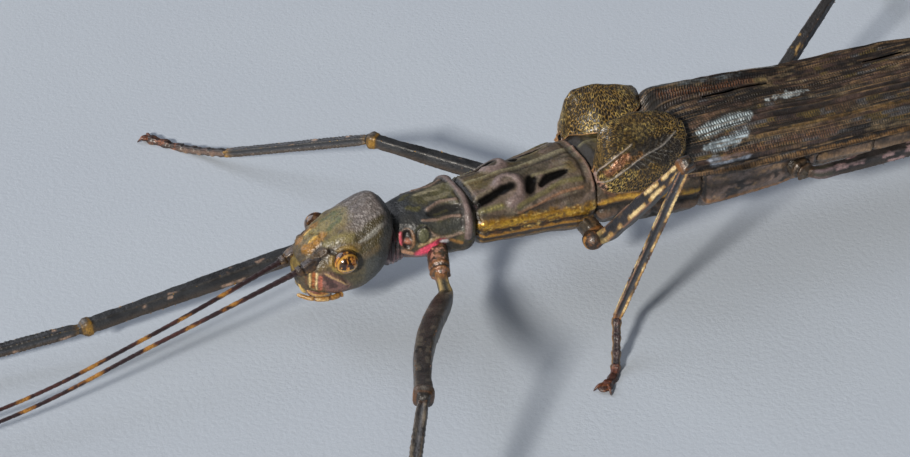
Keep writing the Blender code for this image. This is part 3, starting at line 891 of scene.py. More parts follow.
def sweep(path: np.ndarray, halves: np.ndarray, columns: int, power: float = 2.4,
          profile: Callable[[np.ndarray], np.ndarray] | None = None) -> Swept:
    """Rings round a path that turn smoothly from one to the next.

    Args:
        path: the middle line, one row a ring.
        halves: half the width at each ring.
        columns: how many steps go round.
        power: how square the section is. 2 is round.
        profile: gives the share of the half width at an angle, where 0 is the limb's right side and a
            quarter turn is its top.

    Returns:
        The rings, closed at both ends, and the distance and angle of each point.
    """
    tangents = unit(np.gradient(path, axis=0))
    across = carried(tangents)
    up = np.cross(across, tangents)
    angle = np.linspace(-math.pi / 2, 1.5 * math.pi, columns + 1)
    turns, gone = np.meshgrid(angle, gone_along(path))
    size = halves[:, None] * (profile(turns) if profile else 1.0)
    side = superpower(np.cos(turns), power) * size
    rise = superpower(np.sin(turns), power) * size
    points = path[:, None] + side[..., None] * across[:, None] + rise[..., None] * up[:, None]
    points[:, -1] = points[:, 0]
    points = close_ends(points, LIMB_DOME)
    added = len(CAP_RINGS)
    gone = np.concatenate([np.repeat(gone[:1], added, axis=0), gone, np.repeat(gone[-1:], added, axis=0)])
    return Swept(points, gone, np.repeat(turns[:1], len(gone), axis=0))


# ---------------------------------------------------------------- finishes
SMOOTH_PLATE = Cuticle("olive_thorax_chitin", granule=0.42, depth=0.03, fleck=0.9, fleck_strength=0.4,
                       wax=0.12)
HEAD_PLATE = Cuticle("granular_head_chitin", granule=0.34, depth=0.05, fleck=0.6, fleck_tint="#26241a",
                     fleck_strength=0.55, wax=0.12)
LIMB_PLATE = Cuticle("mottled_leg_chitin", granule=0.3, depth=0.03, fleck=0.7, fleck_tint="#15130f",
                     fleck_strength=0.5, wax=0.15)
FOOT_PLATE = Cuticle("foot_pad_chitin", granule=0.22, depth=0.03, fleck=0.4, fleck_tint="#1a0d08",
                     fleck_strength=0.5, wax=0.2)
FEELER_PLATE = Cuticle("feeler_chitin", granule=0.25, depth=0.015, fleck=0.35, fleck_tint="#140a08",
                       fleck_strength=0.4, wax=0.3)
MOUTH_PLATE = Cuticle("mouthpart_chitin", granule=0.3, depth=0.02, fleck=0.35, fleck_tint="#2a120b",
                      fleck_strength=0.4, wax=0.35)
BELLY_PLATE = Cuticle("abdomen_chitin", granule=0.5, depth=0.03, fleck=1.1, fleck_tint="#1b1511",
                      fleck_strength=0.5, crease=(0.6, 1.6, 1.6))
JOINT_SKIN = Cuticle("soft_joint_membrane", granule=0.5, depth=0.05, fleck=0.8, fleck_tint="#3a1418",
                     fleck_strength=0.35, crease=(3, 1, 1), crease_depth=0.08, wax=0.4)


@dataclass(frozen=True)
class EyeLens(Finish):
    """The facetted lens of a compound eye: clear chitin over banded pigment, as glossy as a bead.

    Attributes:
        name: the material's name.
        facet: spacing of the facets in mm. The real 0.03 mm wouldn't show, so it is drawn coarser.
    """

    name: str = "compound_eye_lens"
    facet: float = 0.12

    def shaded(self, shade: Shade) -> bpy.types.Material:
        """Facets under a clear coat.

        Args:
            shade: the new material's nodes.

        Returns:
            The finished material.
        """
        facets = shade.node("ShaderNodeTexVoronoi", {"Vector": shade.place, "Scale": per_metre(self.facet)})
        normal = shade.bump(facets.outputs["Distance"], 0.008, None, True)
        return shade.done(Base_Color=shade.tint, Roughness=0.2, Metallic=0.3, Coat_Weight=0.9,
                          Coat_Roughness=0.05, Normal=normal)


# ---------------------------------------------------------------- head
def ball_skin(centre: Point, half: Point, tint: str, rough: float, rows: int = 40, columns: int = 48) -> Skin:
    """An ellipsoid skin whose poles point to the two sides of the animal.

    Args:
        centre: its centre.
        half: its half sizes along x, y and z.
        tint: its ground colour.
        rough: its ground roughness.
        rows: steps from pole to pole.
        columns: steps round.

    Returns:
        The skin.
    """
    lift = np.linspace(0, math.pi, rows)[:, None]
    turn = np.linspace(0, 2 * math.pi, columns + 1)[None, :]
    x = centre[0] + half[0] * np.sin(lift) * np.cos(turn)
    z = centre[2] + half[2] * np.sin(lift) * np.sin(turn)
    y = np.broadcast_to(centre[1] - half[1] * np.cos(lift), x.shape)
    points = xyz(x, y, z)
    points[:, -1] = points[:, 0]
    return Skin(points, tint, rough)


EYE_CENTRE = (-46, 6.4, 16)
HEAD_MARKS: tuple[Mark, ...] = (
    # face, brow and the yellow-green field between the eyes
    Mark([(-48.6, 0, 18.6), (-45.4, 0, 20.4)], 2.5, "#80743a", 0.75, 0, 0.9),
    Mark([(-47.4, -1.4, 18.9), (-44.2, -1.2, 20.8)], 0.5, "#3f4a22", 0.8, 0, 0.4, taper=0.8),
    Mark([(-46, -0.3, 20.2), (-43.6, -0.5, 21.4)], 0.45, "#47502a", 0.7, 0, 0.4, taper=0.8),
    Mark([(-48.2, -3.4, 18.2), (-46.2, -3.6, 18.9), (-44.2, -4.4, 19)], 0.8, "#7d7440", 0.6, 0.08, 0.5),
    Mark([(-51, -1.6, 17), (-49.6, -2, 17.8), (-48, -1.6, 18.7)], 0.9, "#96681e", 0.85, 0, 0.6, rough=-0.12,
         gilt=0.25),
    Mark([(-51.2, 0, 16.8), (-49, 0, 18.3)], 0.35, "#5b4718", 0.7, -0.18, 0.2),
    Mark([(-50.3, -1, 17.5), (-48.6, -1.2, 18.6)], 0.3, "#d2a848", 0.7, 0.14, 0.2, taper=0.6),
    # three olive stripes on each side of the crown
    Mark([(-43.4, -5, 18.8), (-41, -4.6, 20.1), (-38.6, -4.1, 21.1)], 0.85, "#382f0d", 0.97, 0, 0.2,
         taper=0.35),
    Mark([(-42.9, -5.9, 17.1), (-40.6, -5.8, 18.4), (-38.4, -5.3, 19.6)], 0.85, "#3b320f", 0.97, 0, 0.2,
         taper=0.35),
    Mark([(-43.4, -6.3, 14.6), (-41.6, -6.6, 15.2), (-39.8, -6.5, 16.2)], 0.6, "#38361f", 0.5, 0, 0.25,
         taper=0.5),
    Mark([(-43.2, -5.4, 18.2), (-40.8, -5.2, 19.3), (-38.7, -4.7, 20.4)], 0.42, "#7a7870", 0.85, 0.06, 0.15,
         taper=0.7),
    # low swellings of the crown and its middle line
    Mark([(-42, -3, 21.3)], 2.6, relief=0.22),
    Mark([(-39.2, -4.6, 20.9)], 2, relief=0.16),
    Mark([(-45, 0, 20.7), (-39, 0, 23.3)], 0.3, "#4a463c", 0.35, -0.12, 0.15),
    Mark([(-45.2, -3.9, 18.8)], 1.2, relief=0.25),
    # the eye's socket
    Mark([(EYE_CENTRE[0], -6.2, EYE_CENTRE[2])], 2, "#4a3416", 0.9, -0.5, soft=0.2),
    Mark(circle((EYE_CENTRE[0], -5.9, EYE_CENTRE[2]), (2.25, 0, 2.2)), 0.42, "#8f7434", 0.75, 0.32, 0.15,
         soft=0.5, gilt=0.15),
    Mark([(-43.7, -5.9, 16.4), (-43.9, -6.2, 14.6)], 0.5, "#33342e", 0.6, -0.1),
    # the feeler's socket
    Mark([(-49.3, -3.5, 16.8)], 1.25, "#1d1511", 0.95, -0.55, soft=0.4),
    Mark(circle((-49.2, -3.5, 16.7), (1.35, -0.55, 1)), 0.36, "#4c3a26", 0.8, 0.3, 0.15, gilt=0.1),
    Mark([(-47.9, -4.3, 17.4), (-47.2, -4.8, 16.9)], 0.5, "#181210", 0.9, -0.3, 0.2),
    # cheek, with its suture and folds
    Mark([(-46.6, -5.7, 11), (-44.4, -6.2, 11.6), (-42, -6.4, 12.8)], 1.5, "#57523c", 0.7, 0, 0.8),
    Mark([(-46, -5.9, 12.7), (-43.4, -6.3, 12.4)], 0.5, "#3b382c", 0.6, 0, 0.6),
    Mark([(-48, -5.4, 13.9), (-46.4, -5.8, 12.6), (-45.4, -5.9, 10.6)], 0.26, "#2b231a", 0.7, -0.2, 0.1),
    Mark([(-47.6, -5.4, 14.4), (-46.4, -5.7, 13.9)], 0.5, "#8c7f45", 0.6, 0.1, 0.3),
    Mark([(-48.8, -4.9, 12.2), (-46.8, -5.4, 10.2)], 1.7, "#785650", 0.9, 0.14, 0.5),
    Mark([(-49.2, -4.8, 13.2), (-47.8, -5.2, 11.2)], 0.6, "#33201f", 0.8, -0.1, 0.6),
    Mark([(-49.8, -4.7, 13), (-50, -4.6, 10.4)], 0.36, "#b0624a", 0.9, -0.06, 0.2),
    Mark([(-50.3, -4.4, 13.8), (-50.5, -4.3, 10.6)], 0.17, "#d8c08c", 0.9, 0.1, 0.12),
    Mark([(-50.7, -4.1, 13.8), (-50.9, -4, 10.8)], 0.28, "#94521e", 0.95, -0.08, 0.15),
    Mark([(-51.1, -3.7, 13.8), (-51.3, -3.6, 10.8)], 0.16, "#d0b478", 0.9, 0.1, 0.12),
    Mark([(-51.5, -3.2, 13.8), (-51.7, -3.1, 11)], 0.24, "#54331d", 0.9, -0.08, 0.15),
    Mark([(-49, -5, 13.6), (-47.2, -5.5, 12.4), (-45.6, -5.8, 11)], 0.16, "#c2a070", 0.75, 0.12, 0.15),
    Mark([(-51.9, -2.8, 14.2), (-52.1, 0, 14)], 0.4, "#7e6a2c", 0.7, -0.2),
    Mark([(-52.2, -1.4, 12.6), (-52.3, 0, 12.6)], 0.9, "#9a8038", 0.7, 0.1, 0.4),
    # rear rim and the creases before it
    Mark([(-36.9, 0, 22), (-37.2, -4.2, 20.3), (-38.3, -6.1, 18.2), (-39.2, -6.4, 15.6), (-39.6, -6.2, 12.4),
          (-40.4, -3.6, 9.4)], 1.4, "#26292b", 0.9, 0.1, 0.5),
    Mark([(-41.2, -6.6, 14.6), (-41.6, -6.4, 12)], 1.3, "#3f4446", 0.7, 0, 0.5),
    Mark([(-35.9, 0, 20.2), (-36.4, -4.4, 18.9), (-38.2, -6, 16), (-38.6, -5.2, 13.2)], 0.4, "#16120f", 0.9,
         -0.15, 0.2),
)


@dataclass
class Head:
    """The head capsule with its eyes, feeler sockets and mouth."""

    sections: tuple = (
        (-52.4, 2.2, 14.6, 10.2, 2.2, 2.2), (-51.6, 3.7, 16.5, 9, 2.2, 2.4),
        (-49.8, 4.9, 18.2, 8.2, 2.3, 2.6), (-46.5, 5.9, 20, 7.8, 2.2, 2.8),
        (-42.5, 6.4, 22.1, 7.8, 1.9, 2.6), (-38.6, 6.7, 23.5, 8.7, 1.7, 2.4),
        (-37, 6.6, 22.1, 10, 1.9, 2.2), (-36, 6.2, 20.5, 11.2, 2.1, 2),
        (-35.4, 5.2, 19, 12.4, 2.1, 2),
    )
    eye_half: Point = (2.05, 1.9, 2)
    rows: int = 130
    columns: int = 230

    def build(self) -> None:
        """Builds the capsule, the eyes and the mouth."""
        self._capsule()
        for side, name in SIDES:
            self._eye(side, name)
            self._jaw(side, name)
            self._palp(side, name)
        self._labrum()

    def _capsule(self) -> None:
        """The head capsule, with its sockets, brow, crown, stripes and rear rim."""
        skin = Skin(body_rings(self.sections, self.rows, self.columns), "#54472e", 0.47)
        skin.shear(2.4 * ease(-44.5, -37.5, skin.points[..., 0]) * ease(21.8, 15, skin.points[..., 2]))
        folded = skin.seen_from_left()
        skin.weather((3.2, "#705d36", 0.6, -0.1, 11), (2.2, "#383026", 0.6, 0, 12))
        x, z = folded[..., 0], folded[..., 2]
        # the crown, lighter mauve grey on top: partly its own colour, partly a painted highlight of the light
        # from above
        crown = ease(17.5, 21, z) * ease(-46.5, -42.5, x)
        skin.paint(crown * 0.9, "#625b5a", 0.03)
        skin.clouds(0.5, "#a09a98", 0.55, 0.25, 13, only=crown)
        skin.clouds(0.7, "#4c4a48", 0.45, 0.3, 14, only=crown)
        flank = ease(17.5, 14.5, z) * ease(-45, -42, x)
        skin.paint(flank * 0.8, "#4a4540")
        skin.mark(HEAD_MARKS)
        skin.roughen(1.1, 0.035, 21)
        skin.roughen(0.42, 0.03, 22)
        skin.pitted = 0.6 + 0.3 * crown
        face = ease(-47.5, -49.5, x)
        skin.roughen(0.8, 0.16, 24, (1, 1, 0.6), only=face)
        under = ease(10.5, 8.5, z)
        skin.paint(under * 0.8, "#4a3a2c")
        skin.clouds(1.2, "#7a5c44", 0.5, 0.1, 25, only=under)
        put("head_capsule", skin, HEAD_PLATE, "olive_cuticle", "head")

    def _eye(self, side: int, name: str) -> None:
        """One eye: a glossy bead with a gold rim and dark blotches over copper.

        Args:
            side: -1 for the left side, 1 for the right one.
            name: the side's name.
        """
        centre = (EYE_CENTRE[0], side * EYE_CENTRE[1], EYE_CENTRE[2])
        skin = ball_skin(centre, self.eye_half, "#9a5a20", 0.2, 56, 72)
        rel = (skin.base - np.array(centre)) / np.array(self.eye_half)
        out = rel[..., 1] * side
        skin.clouds(0.7, "#e0a048", 0.9, 0, 31, stretch=(0.6, 1, 1.5), fade=0.25)
        skin.clouds(0.75, "#1f0d08", 0.97, -0.22, 32, stretch=(0.6, 1, 1.6), fade=0.2)
        centre_field = ease(0.62, 0.85, out) * ease(0.15, -0.05, np.abs(rel[..., 2] - 0.12))
        skin.paint(centre_field * 0.75, "#2a130b")
        for level, wide, tint in ((-0.36, 0.07, "#f0c060"), (-0.5, 0.06, "#1c0c07"), (-0.62, 0.06, "#d89c40"),
                                  (-0.76, 0.05, "#1c0c07")):
            skin.paint(bell(rel[..., 2] - level, wide) * 0.9, tint)
        skin.paint(bell(out - 0.5, 0.09) * 0.85, "#d8a03c")
        skin.paint(bell(out - 0.36, 0.05) * 0.8, "#3a1c0e")
        skin.paint(ease(0.16, 0.06, out) * 0.9, "#3a2412")
        put(f"compound_eye_{name}", skin, EyeLens(), "eye_lens", f"eye_{name}")

    def _jaw(self, side: int, name: str) -> None:
        """One mandible: a stout rounded plate with a bright edge.

        Args:
            side: -1 for the left side, 1 for the right one.
            name: the side's name.
        """
        centre = (-49, side * 2.4, 9.5)
        skin = ball_skin(centre, (2.6, 1.8, 1.8), "#6b3a2c", 0.4, 30, 44)
        skin.weather((1.2, "#b07a44", 0.7, 0, 41), (0.8, "#301713", 0.7, 0.2, 42))
        skin.mark([
            Mark([(-51.2, -2.8, 9.6), (-50.2, -3.9, 9), (-47.6, -4.1, 9)], 0.25, "#d8b070", 0.8, 0.1),
            Mark([(-50.6, -3.4, 10.4), (-48, -4.1, 10.4)], 0.2, "#1d0f0c", 0.8, -0.12),
        ])
        skin.roughen(0.9, 0.06, 43)
        put(f"jaw_{name}", skin, MOUTH_PLATE, "mouthpart_cuticle", f"mandible_{name}")

    def _labrum(self) -> None:
        """The upper lip, a notched pad in front of the jaws."""
        skin = ball_skin((-50.8, 0, 9.8), (1.5, 2.3, 2.1), "#8d7434", 0.4, 36, 48)
        skin.clouds(0.9, "#c9a050", 0.6, 0, 45)
        skin.mark([
            Mark([(-52.4, 0, 7.6), (-52.2, 0, 9.2)], 0.5, "#3a2612", 0.7, -0.4),
            Mark([(-52.2, -2.2, 10.9), (-52.4, 0, 11.1)], 0.22, "#3a2612", 0.8, -0.2),
            Mark([(-51.8, -1.6, 8.6), (-52.2, -0.9, 9.6)], 0.4, "#e0c078", 0.7, 0.1),
        ])
        put("upper_lip", skin, MOUTH_PLATE, "mouthpart_cuticle", "labrum")

    def _palp(self, side: int, name: str) -> None:
        """The feeling palps at one side of the mouth: a long jointed one and a short one inside it.

        Args:
            side: -1 for the left side, 1 for the right one.
            name: the side's name.
        """
        made = []
        routes = (
            [(-46.2, 4.7, 8.7), (-48.8, 5, 8.7), (-51.3, 4.2, 8.9), (-53.3, 2.7, 9.4)],
            [(-47.4, 2.6, 7.9), (-49.6, 3, 7.7), (-51.4, 2.4, 8)],
        )
        rings = 46
        share = np.linspace(0, 1, rings)
        pinch = sum(bell(share - joint, 0.022) for joint in (0.08, 0.3, 0.62))
        for number, route in enumerate(routes):
            path = spline([(x, side * y, z) for x, y, z in route], rings)
            halves = (0.46 - 0.14 * share) * (1 - 0.3 * np.clip(pinch, 0, 1)) * ease(1.06, 0.9, share) ** 0.5
            skin = Skin(sweep(path, halves * (1, 0.8)[number], 16).points, "#9c7238", 0.32)
            skin.clouds(0.8, "#7c4a22", 0.7, 0.05, 47)
            row = np.concatenate([[0, 0, 0], pinch, [0, 0, 0]])[:, None] * np.ones_like(skin.rough)
            skin.paint(np.clip(row, 0, 1) * 0.85, "#4a2414")
            skin.clouds(0.6, "#dcc088", 0.6, 0.15, 48, stretch=2)
            made.append(skin.mesh(f"palp_{number}"))
        title = f"jointed_palps_{name}"
        put(title, joined(title, made), MOUTH_PLATE, "mouthpart_cuticle", f"palps_{name}")


@dataclass
class Feelers:
    """The two long feelers, each a stout base and a banded thread of many short rings."""

    routes: dict = field(default_factory=lambda: {
        "left": [(-48.9, -3.2, 15.7), (-53.2, -3.4, 14.2), (-79.5, -6.1, 8.9), (-105.4, -9, 4.2),
                 (-143, -12, 3)],
        "right": [(-49.4, 2.9, 15), (-53.8, 2.6, 12.9), (-79.5, -2.7, 8.3), (-105, -6.3, 4.4),
                  (-142, -8.4, 3)],
    })
    ring_length: float = 1.55
    rings_each: int = 7
    band_period: float = 9.4

    def build(self) -> None:
        """Builds both bases and both threads."""
        for name, route in self.routes.items():
            points = np.array(route, float)
            self._base(name, *points[:2])
            self._thread(name, *points[1:])

    def _base(self, name: str, root: np.ndarray, neck: np.ndarray) -> None:
        """The first two joints: a flattened scape and a short pedicel.

        Args:
            name: the side's name.
            root: where it leaves the head.
            neck: where the thread starts.
        """
        share = np.linspace(0, 1.08, 60)
        path = root + (neck - root) * share[:, None]
        table = Curve([0, 0.1, 0.3, 0.6, 0.78, 0.82, 0.88, 1, 1.08],
                      [0.85, 1.05, 1.08, 1.05, 0.9, 0.66, 0.86, 0.82, 0.55])
        swept = sweep(path, table(share)[:, 0], 30, 2.6, lambda a: 1 + 0.07 * np.cos(2 * a + 0.6))
        skin = Skin(swept.points, "#3c2c20", 0.38)
        skin.weather((1.3, "#5f4526", 0.7, 0, 51, 2.5), (0.8, "#1c120c", 0.8, 0.15, 52, 2),
                     (0.5, "#b08a50", 0.4, 0.4, 53, 2))
        skin.lift += 0.09 * np.cos(swept.angle * 5 + 1) * ease(0.2, 1, swept.along)
        skin.roughen(0.6, 0.07, 54, 2)
        skin.paint(ease(1.7, 1, swept.along), "#221a1a", 0.25)
        joint = bell(swept.along / 4.55 - 0.815, 0.03)
        skin.paint(joint * 0.9, "#120b08")
        skin.gilt[:] = 0.15
        put(f"feeler_base_{name}", skin, FEELER_PLATE, "antenna_cuticle", f"antenna_base_{name}")

    def _thread(self, name: str, neck: np.ndarray, middle: np.ndarray, far: np.ndarray,
                tip: np.ndarray) -> None:
        """The thread: ring after ring, dark red-brown with pairs of gold bands.

        Args:
            name: the side's name.
            neck: where it starts.
            middle: a point on its way.
            far: a later point.
            tip: its tip.
        """
        knots = np.array([neck + unit(middle - neck) * 0.35, middle, far, tip])
        count = int(length_of(knots) / self.ring_length)
        total = count * self.rings_each + 1
        path = spline(knots, total)
        share = np.linspace(0, 1, total)
        phase = np.linspace(0, count, total) % 1
        pinch = bell(np.minimum(phase, 1 - phase), 0.08)
        swell = 0.96 + 0.04 * np.sin(np.pi * phase) - 0.1 * pinch
        halves = (0.38 + 0.18 * np.exp(-share * 11) - 0.1 * share) * swell * ease(1.003, 0.985, share) ** 0.5
        swept = sweep(path, halves, 12, 2.1)
        skin = Skin(swept.points, "#2c191b", 0.32)
        skin.clouds(1.6, "#55302a", 0.6, 0, 55, stretch=3)
        along = swept.along
        wave = grain(xyz(along), 9, 57)
        band = np.cos(2 * np.pi * along / self.band_period + 2.4 * wave + (0 if name == "left" else 0.4))
        gold = ease(0.25, 0.6, band * 0.75 + 0.7 * cloud(xyz(along, swept.angle), 1.8, 58))
        skin.paint(gold * 0.75, "#94602a", -0.05)
        skin.paint(gold * ease(0.5, 1, band) * 0.6, "#c08c3c")
        phase = (along / self.ring_length) % 1
        knuckle = bell(np.minimum(phase, 1 - phase), 0.09)
        skin.paint(knuckle * 0.35, "#1c0e0b")
        put(f"feeler_{name}", skin, FEELER_PLATE, "antenna_cuticle", f"antenna_{name}")


# ---------------------------------------------------------------- trunk
def beside(line: Path, inward: float, down: float) -> Path:
    """The line moved by so many mm toward the middle of the animal and down."""
    return [(x, y + inward, z - down) for x, y, z in line]


# the middle lines of the gold stripes on the flanks
GOLD_FRONT = ((-22.2, -6.4, 16.4), (-19.9, -6.8, 16.1), (-15.7, -7, 16), (-10.5, -7.2, 15.8),
              (-5.8, -7.7, 15.7), (-0.8, -7.6, 15.6))
GOLD_REAR = ((-0.2, -7.3, 15.6), (3.3, -8, 16.4), (8, -8.3, 15.8), (13, -8.5, 15), (19, -8.4, 14.4))

PROTHORAX_MARKS: tuple[Mark, ...] = (
    Mark([(-34.6, 0, 19.4), (-33.8, -3, 19.2), (-33.4, -4.6, 18)], 2.2, "#15181a", 0.95, 0, 0.6),
    Mark([(-32.2, 0, 20.2), (-31.4, -2.8, 19.9), (-30.9, -4.4, 18.8)], 1.3, "#22262a", 0.9, 0, 0.6),
    Mark([(-32.8, -1.6, 20.1), (-31.2, -2.4, 20.2)], 0.5, "#4e4a22", 0.8, 0, 0.5),
    Mark([(-29.8, 0, 20.9), (-24.8, 0, 21.2)], 1.9, "#4f4b2a", 0.7, 0, 0.8),
    Mark([(-30.2, 1.3, 20.5), (-26.6, 0.6, 20.8)], 0.35, "#9c9479", 0.6, 0.08, 0.4, both=False),
    Mark([(-28.8, -1.2, 20.8), (-25.6, -1.4, 21)], 0.4, "#8c846c", 0.4, 0, 0.5),
    # upper slot between two pale ridges, its hollow painted near black as painted shade
    Mark([(-30, -3.2, 20.1), (-27.6, -2.5, 20.6), (-24.8, -3.3, 20.7)], 0.3, "#7e6a5e", 0.85, 0.3, 0.15),
    Mark([(-29.9, -4, 19.6), (-27.2, -4, 20), (-24.9, -4.6, 19.9)], 1.05, "#0a0907", 0.98, -0.6, 0.15,
         taper=0.6, soft=0.3, rough=0.4),
    Mark([(-29, -4.3, 19.5), (-27, -4.2, 19.9)], 0.3, "#3c3a1c", 0.7, 0, 0.2),
    Mark([(-31.4, -4.4, 18.9), (-28.8, -5.2, 18.8), (-27, -5.2, 19.1), (-25, -5.7, 18.9)], 0.24, "#7d6658",
         0.85, 0.18, 0.15),
    # lower field and its rim
    Mark([(-30, -5.5, 17.6), (-27.5, -6.1, 17.6), (-25, -6.6, 17.6)], 1, "#33352f", 0.8, -0.1, 0.4),
    Mark([(-31.4, -5.2, 18), (-30, -5.9, 16.6), (-28.2, -6.3, 15.9), (-25.4, -6.6, 16.2)], 0.28, "#857060",
         0.8, 0.28, 0.15),
    # olive plate at the front corner, with the dark pit and its orange rim before it
    Mark([(-31.9, -5.4, 17.5), (-31.7, -5.7, 16.2)], 1.05, "#56563a", 0.9, 0.25, 0.2, soft=0.3),
    Mark(circle((-31.8, -5.5, 16.8), (1.15, 0.2, 1.6)), 0.22, "#12110e", 0.9, -0.25, 0.08),
    Mark(circle((-34.5, -4.9, 16.3), (1.15, 0.3, 2)), 0.26, "#8f6a4a", 0.9, 0.25, 0.1, gilt=0.2),
    Mark([(-35.6, -4.7, 17.6), (-35.5, -4.8, 15.6)], 0.26, "#d04c62", 0.95, 0.1, 0.12),
    Mark([(-34.5, -4.8, 17.4), (-34.5, -4.9, 15.2)], 0.85, "#0e0908", 0.97, -0.7, 0.1, soft=0.3),
    Mark([(-34.4, -5, 15.9)], 0.6, "#a8694e", 0.9, 0.7, 0.1),
    Mark([(-34.9, -4.7, 14), (-33.6, -5, 13.4)], 0.45, "#b08468", 0.8, 0.2, 0.6),
    Mark([(-35.4, -4.4, 12.8), (-32.4, -4.8, 12.6)], 0.7, "#50393c", 0.85, 0, 0.5),
    # pink membrane over the coxa, with pale creases
    Mark([(-32, -5, 13.3), (-30.6, -5.8, 14), (-29.2, -6.1, 14.7)], 1.25, "#ec5472", 0.97, 0.12, 0.3,
         soft=0.3, rough=-0.12),
    Mark([(-32.4, -4.7, 15), (-31, -5.6, 15.5), (-29.4, -6.1, 16.1)], 0.3, "#c9a878", 0.5, 0.2, 0.25),
    Mark([(-33.2, -4.4, 12.6), (-31.4, -4.8, 11.9), (-29.6, -5.2, 12.4)], 0.8, "#8c6a70", 0.8, 0, 0.5),
    Mark([(-28.8, -6.3, 15), (-28, -6.3, 13.6)], 0.8, "#1c1816", 0.8, -0.3, 0.4),
    Mark([(-28.6, -6.4, 15.2), (-27.9, -6.5, 14.9)], 0.35, "#b5b6ba", 0.9, 0.2, 0.2),
    Mark([(-27.2, -6.5, 15.2), (-25.4, -6.7, 14.3)], 0.35, "#a8793a", 0.7, 0.12, 0.3, gilt=0.2),
    Mark([(-27.4, -6.5, 14.2), (-26, -6.6, 13.2)], 0.8, "#171310", 0.7, 0, 0.5),
    # rear collar
    Mark([(-23.7, 0, 21.5), (-23.5, -3, 21), (-23.7, -5.2, 19.8), (-24.2, -6.9, 17.4), (-24.5, -7.2, 15.6)],
         0.6, "#6f5e5b", 0.92, 0.42, 0.12, soft=0.3),
    Mark([(-24.5, -1.5, 21.2), (-24.5, -4.6, 20.2), (-25.1, -6.6, 17.4)], 0.25, "#241d1a", 0.8, -0.15, 0.1),
    # the near-black line behind the collar: painted shade in the gap under it
    Mark([(-22.7, 0, 20.8), (-22.7, -5.4, 19), (-22.8, -6.6, 16)], 0.4, "#100e0c", 0.9, -0.2),
)

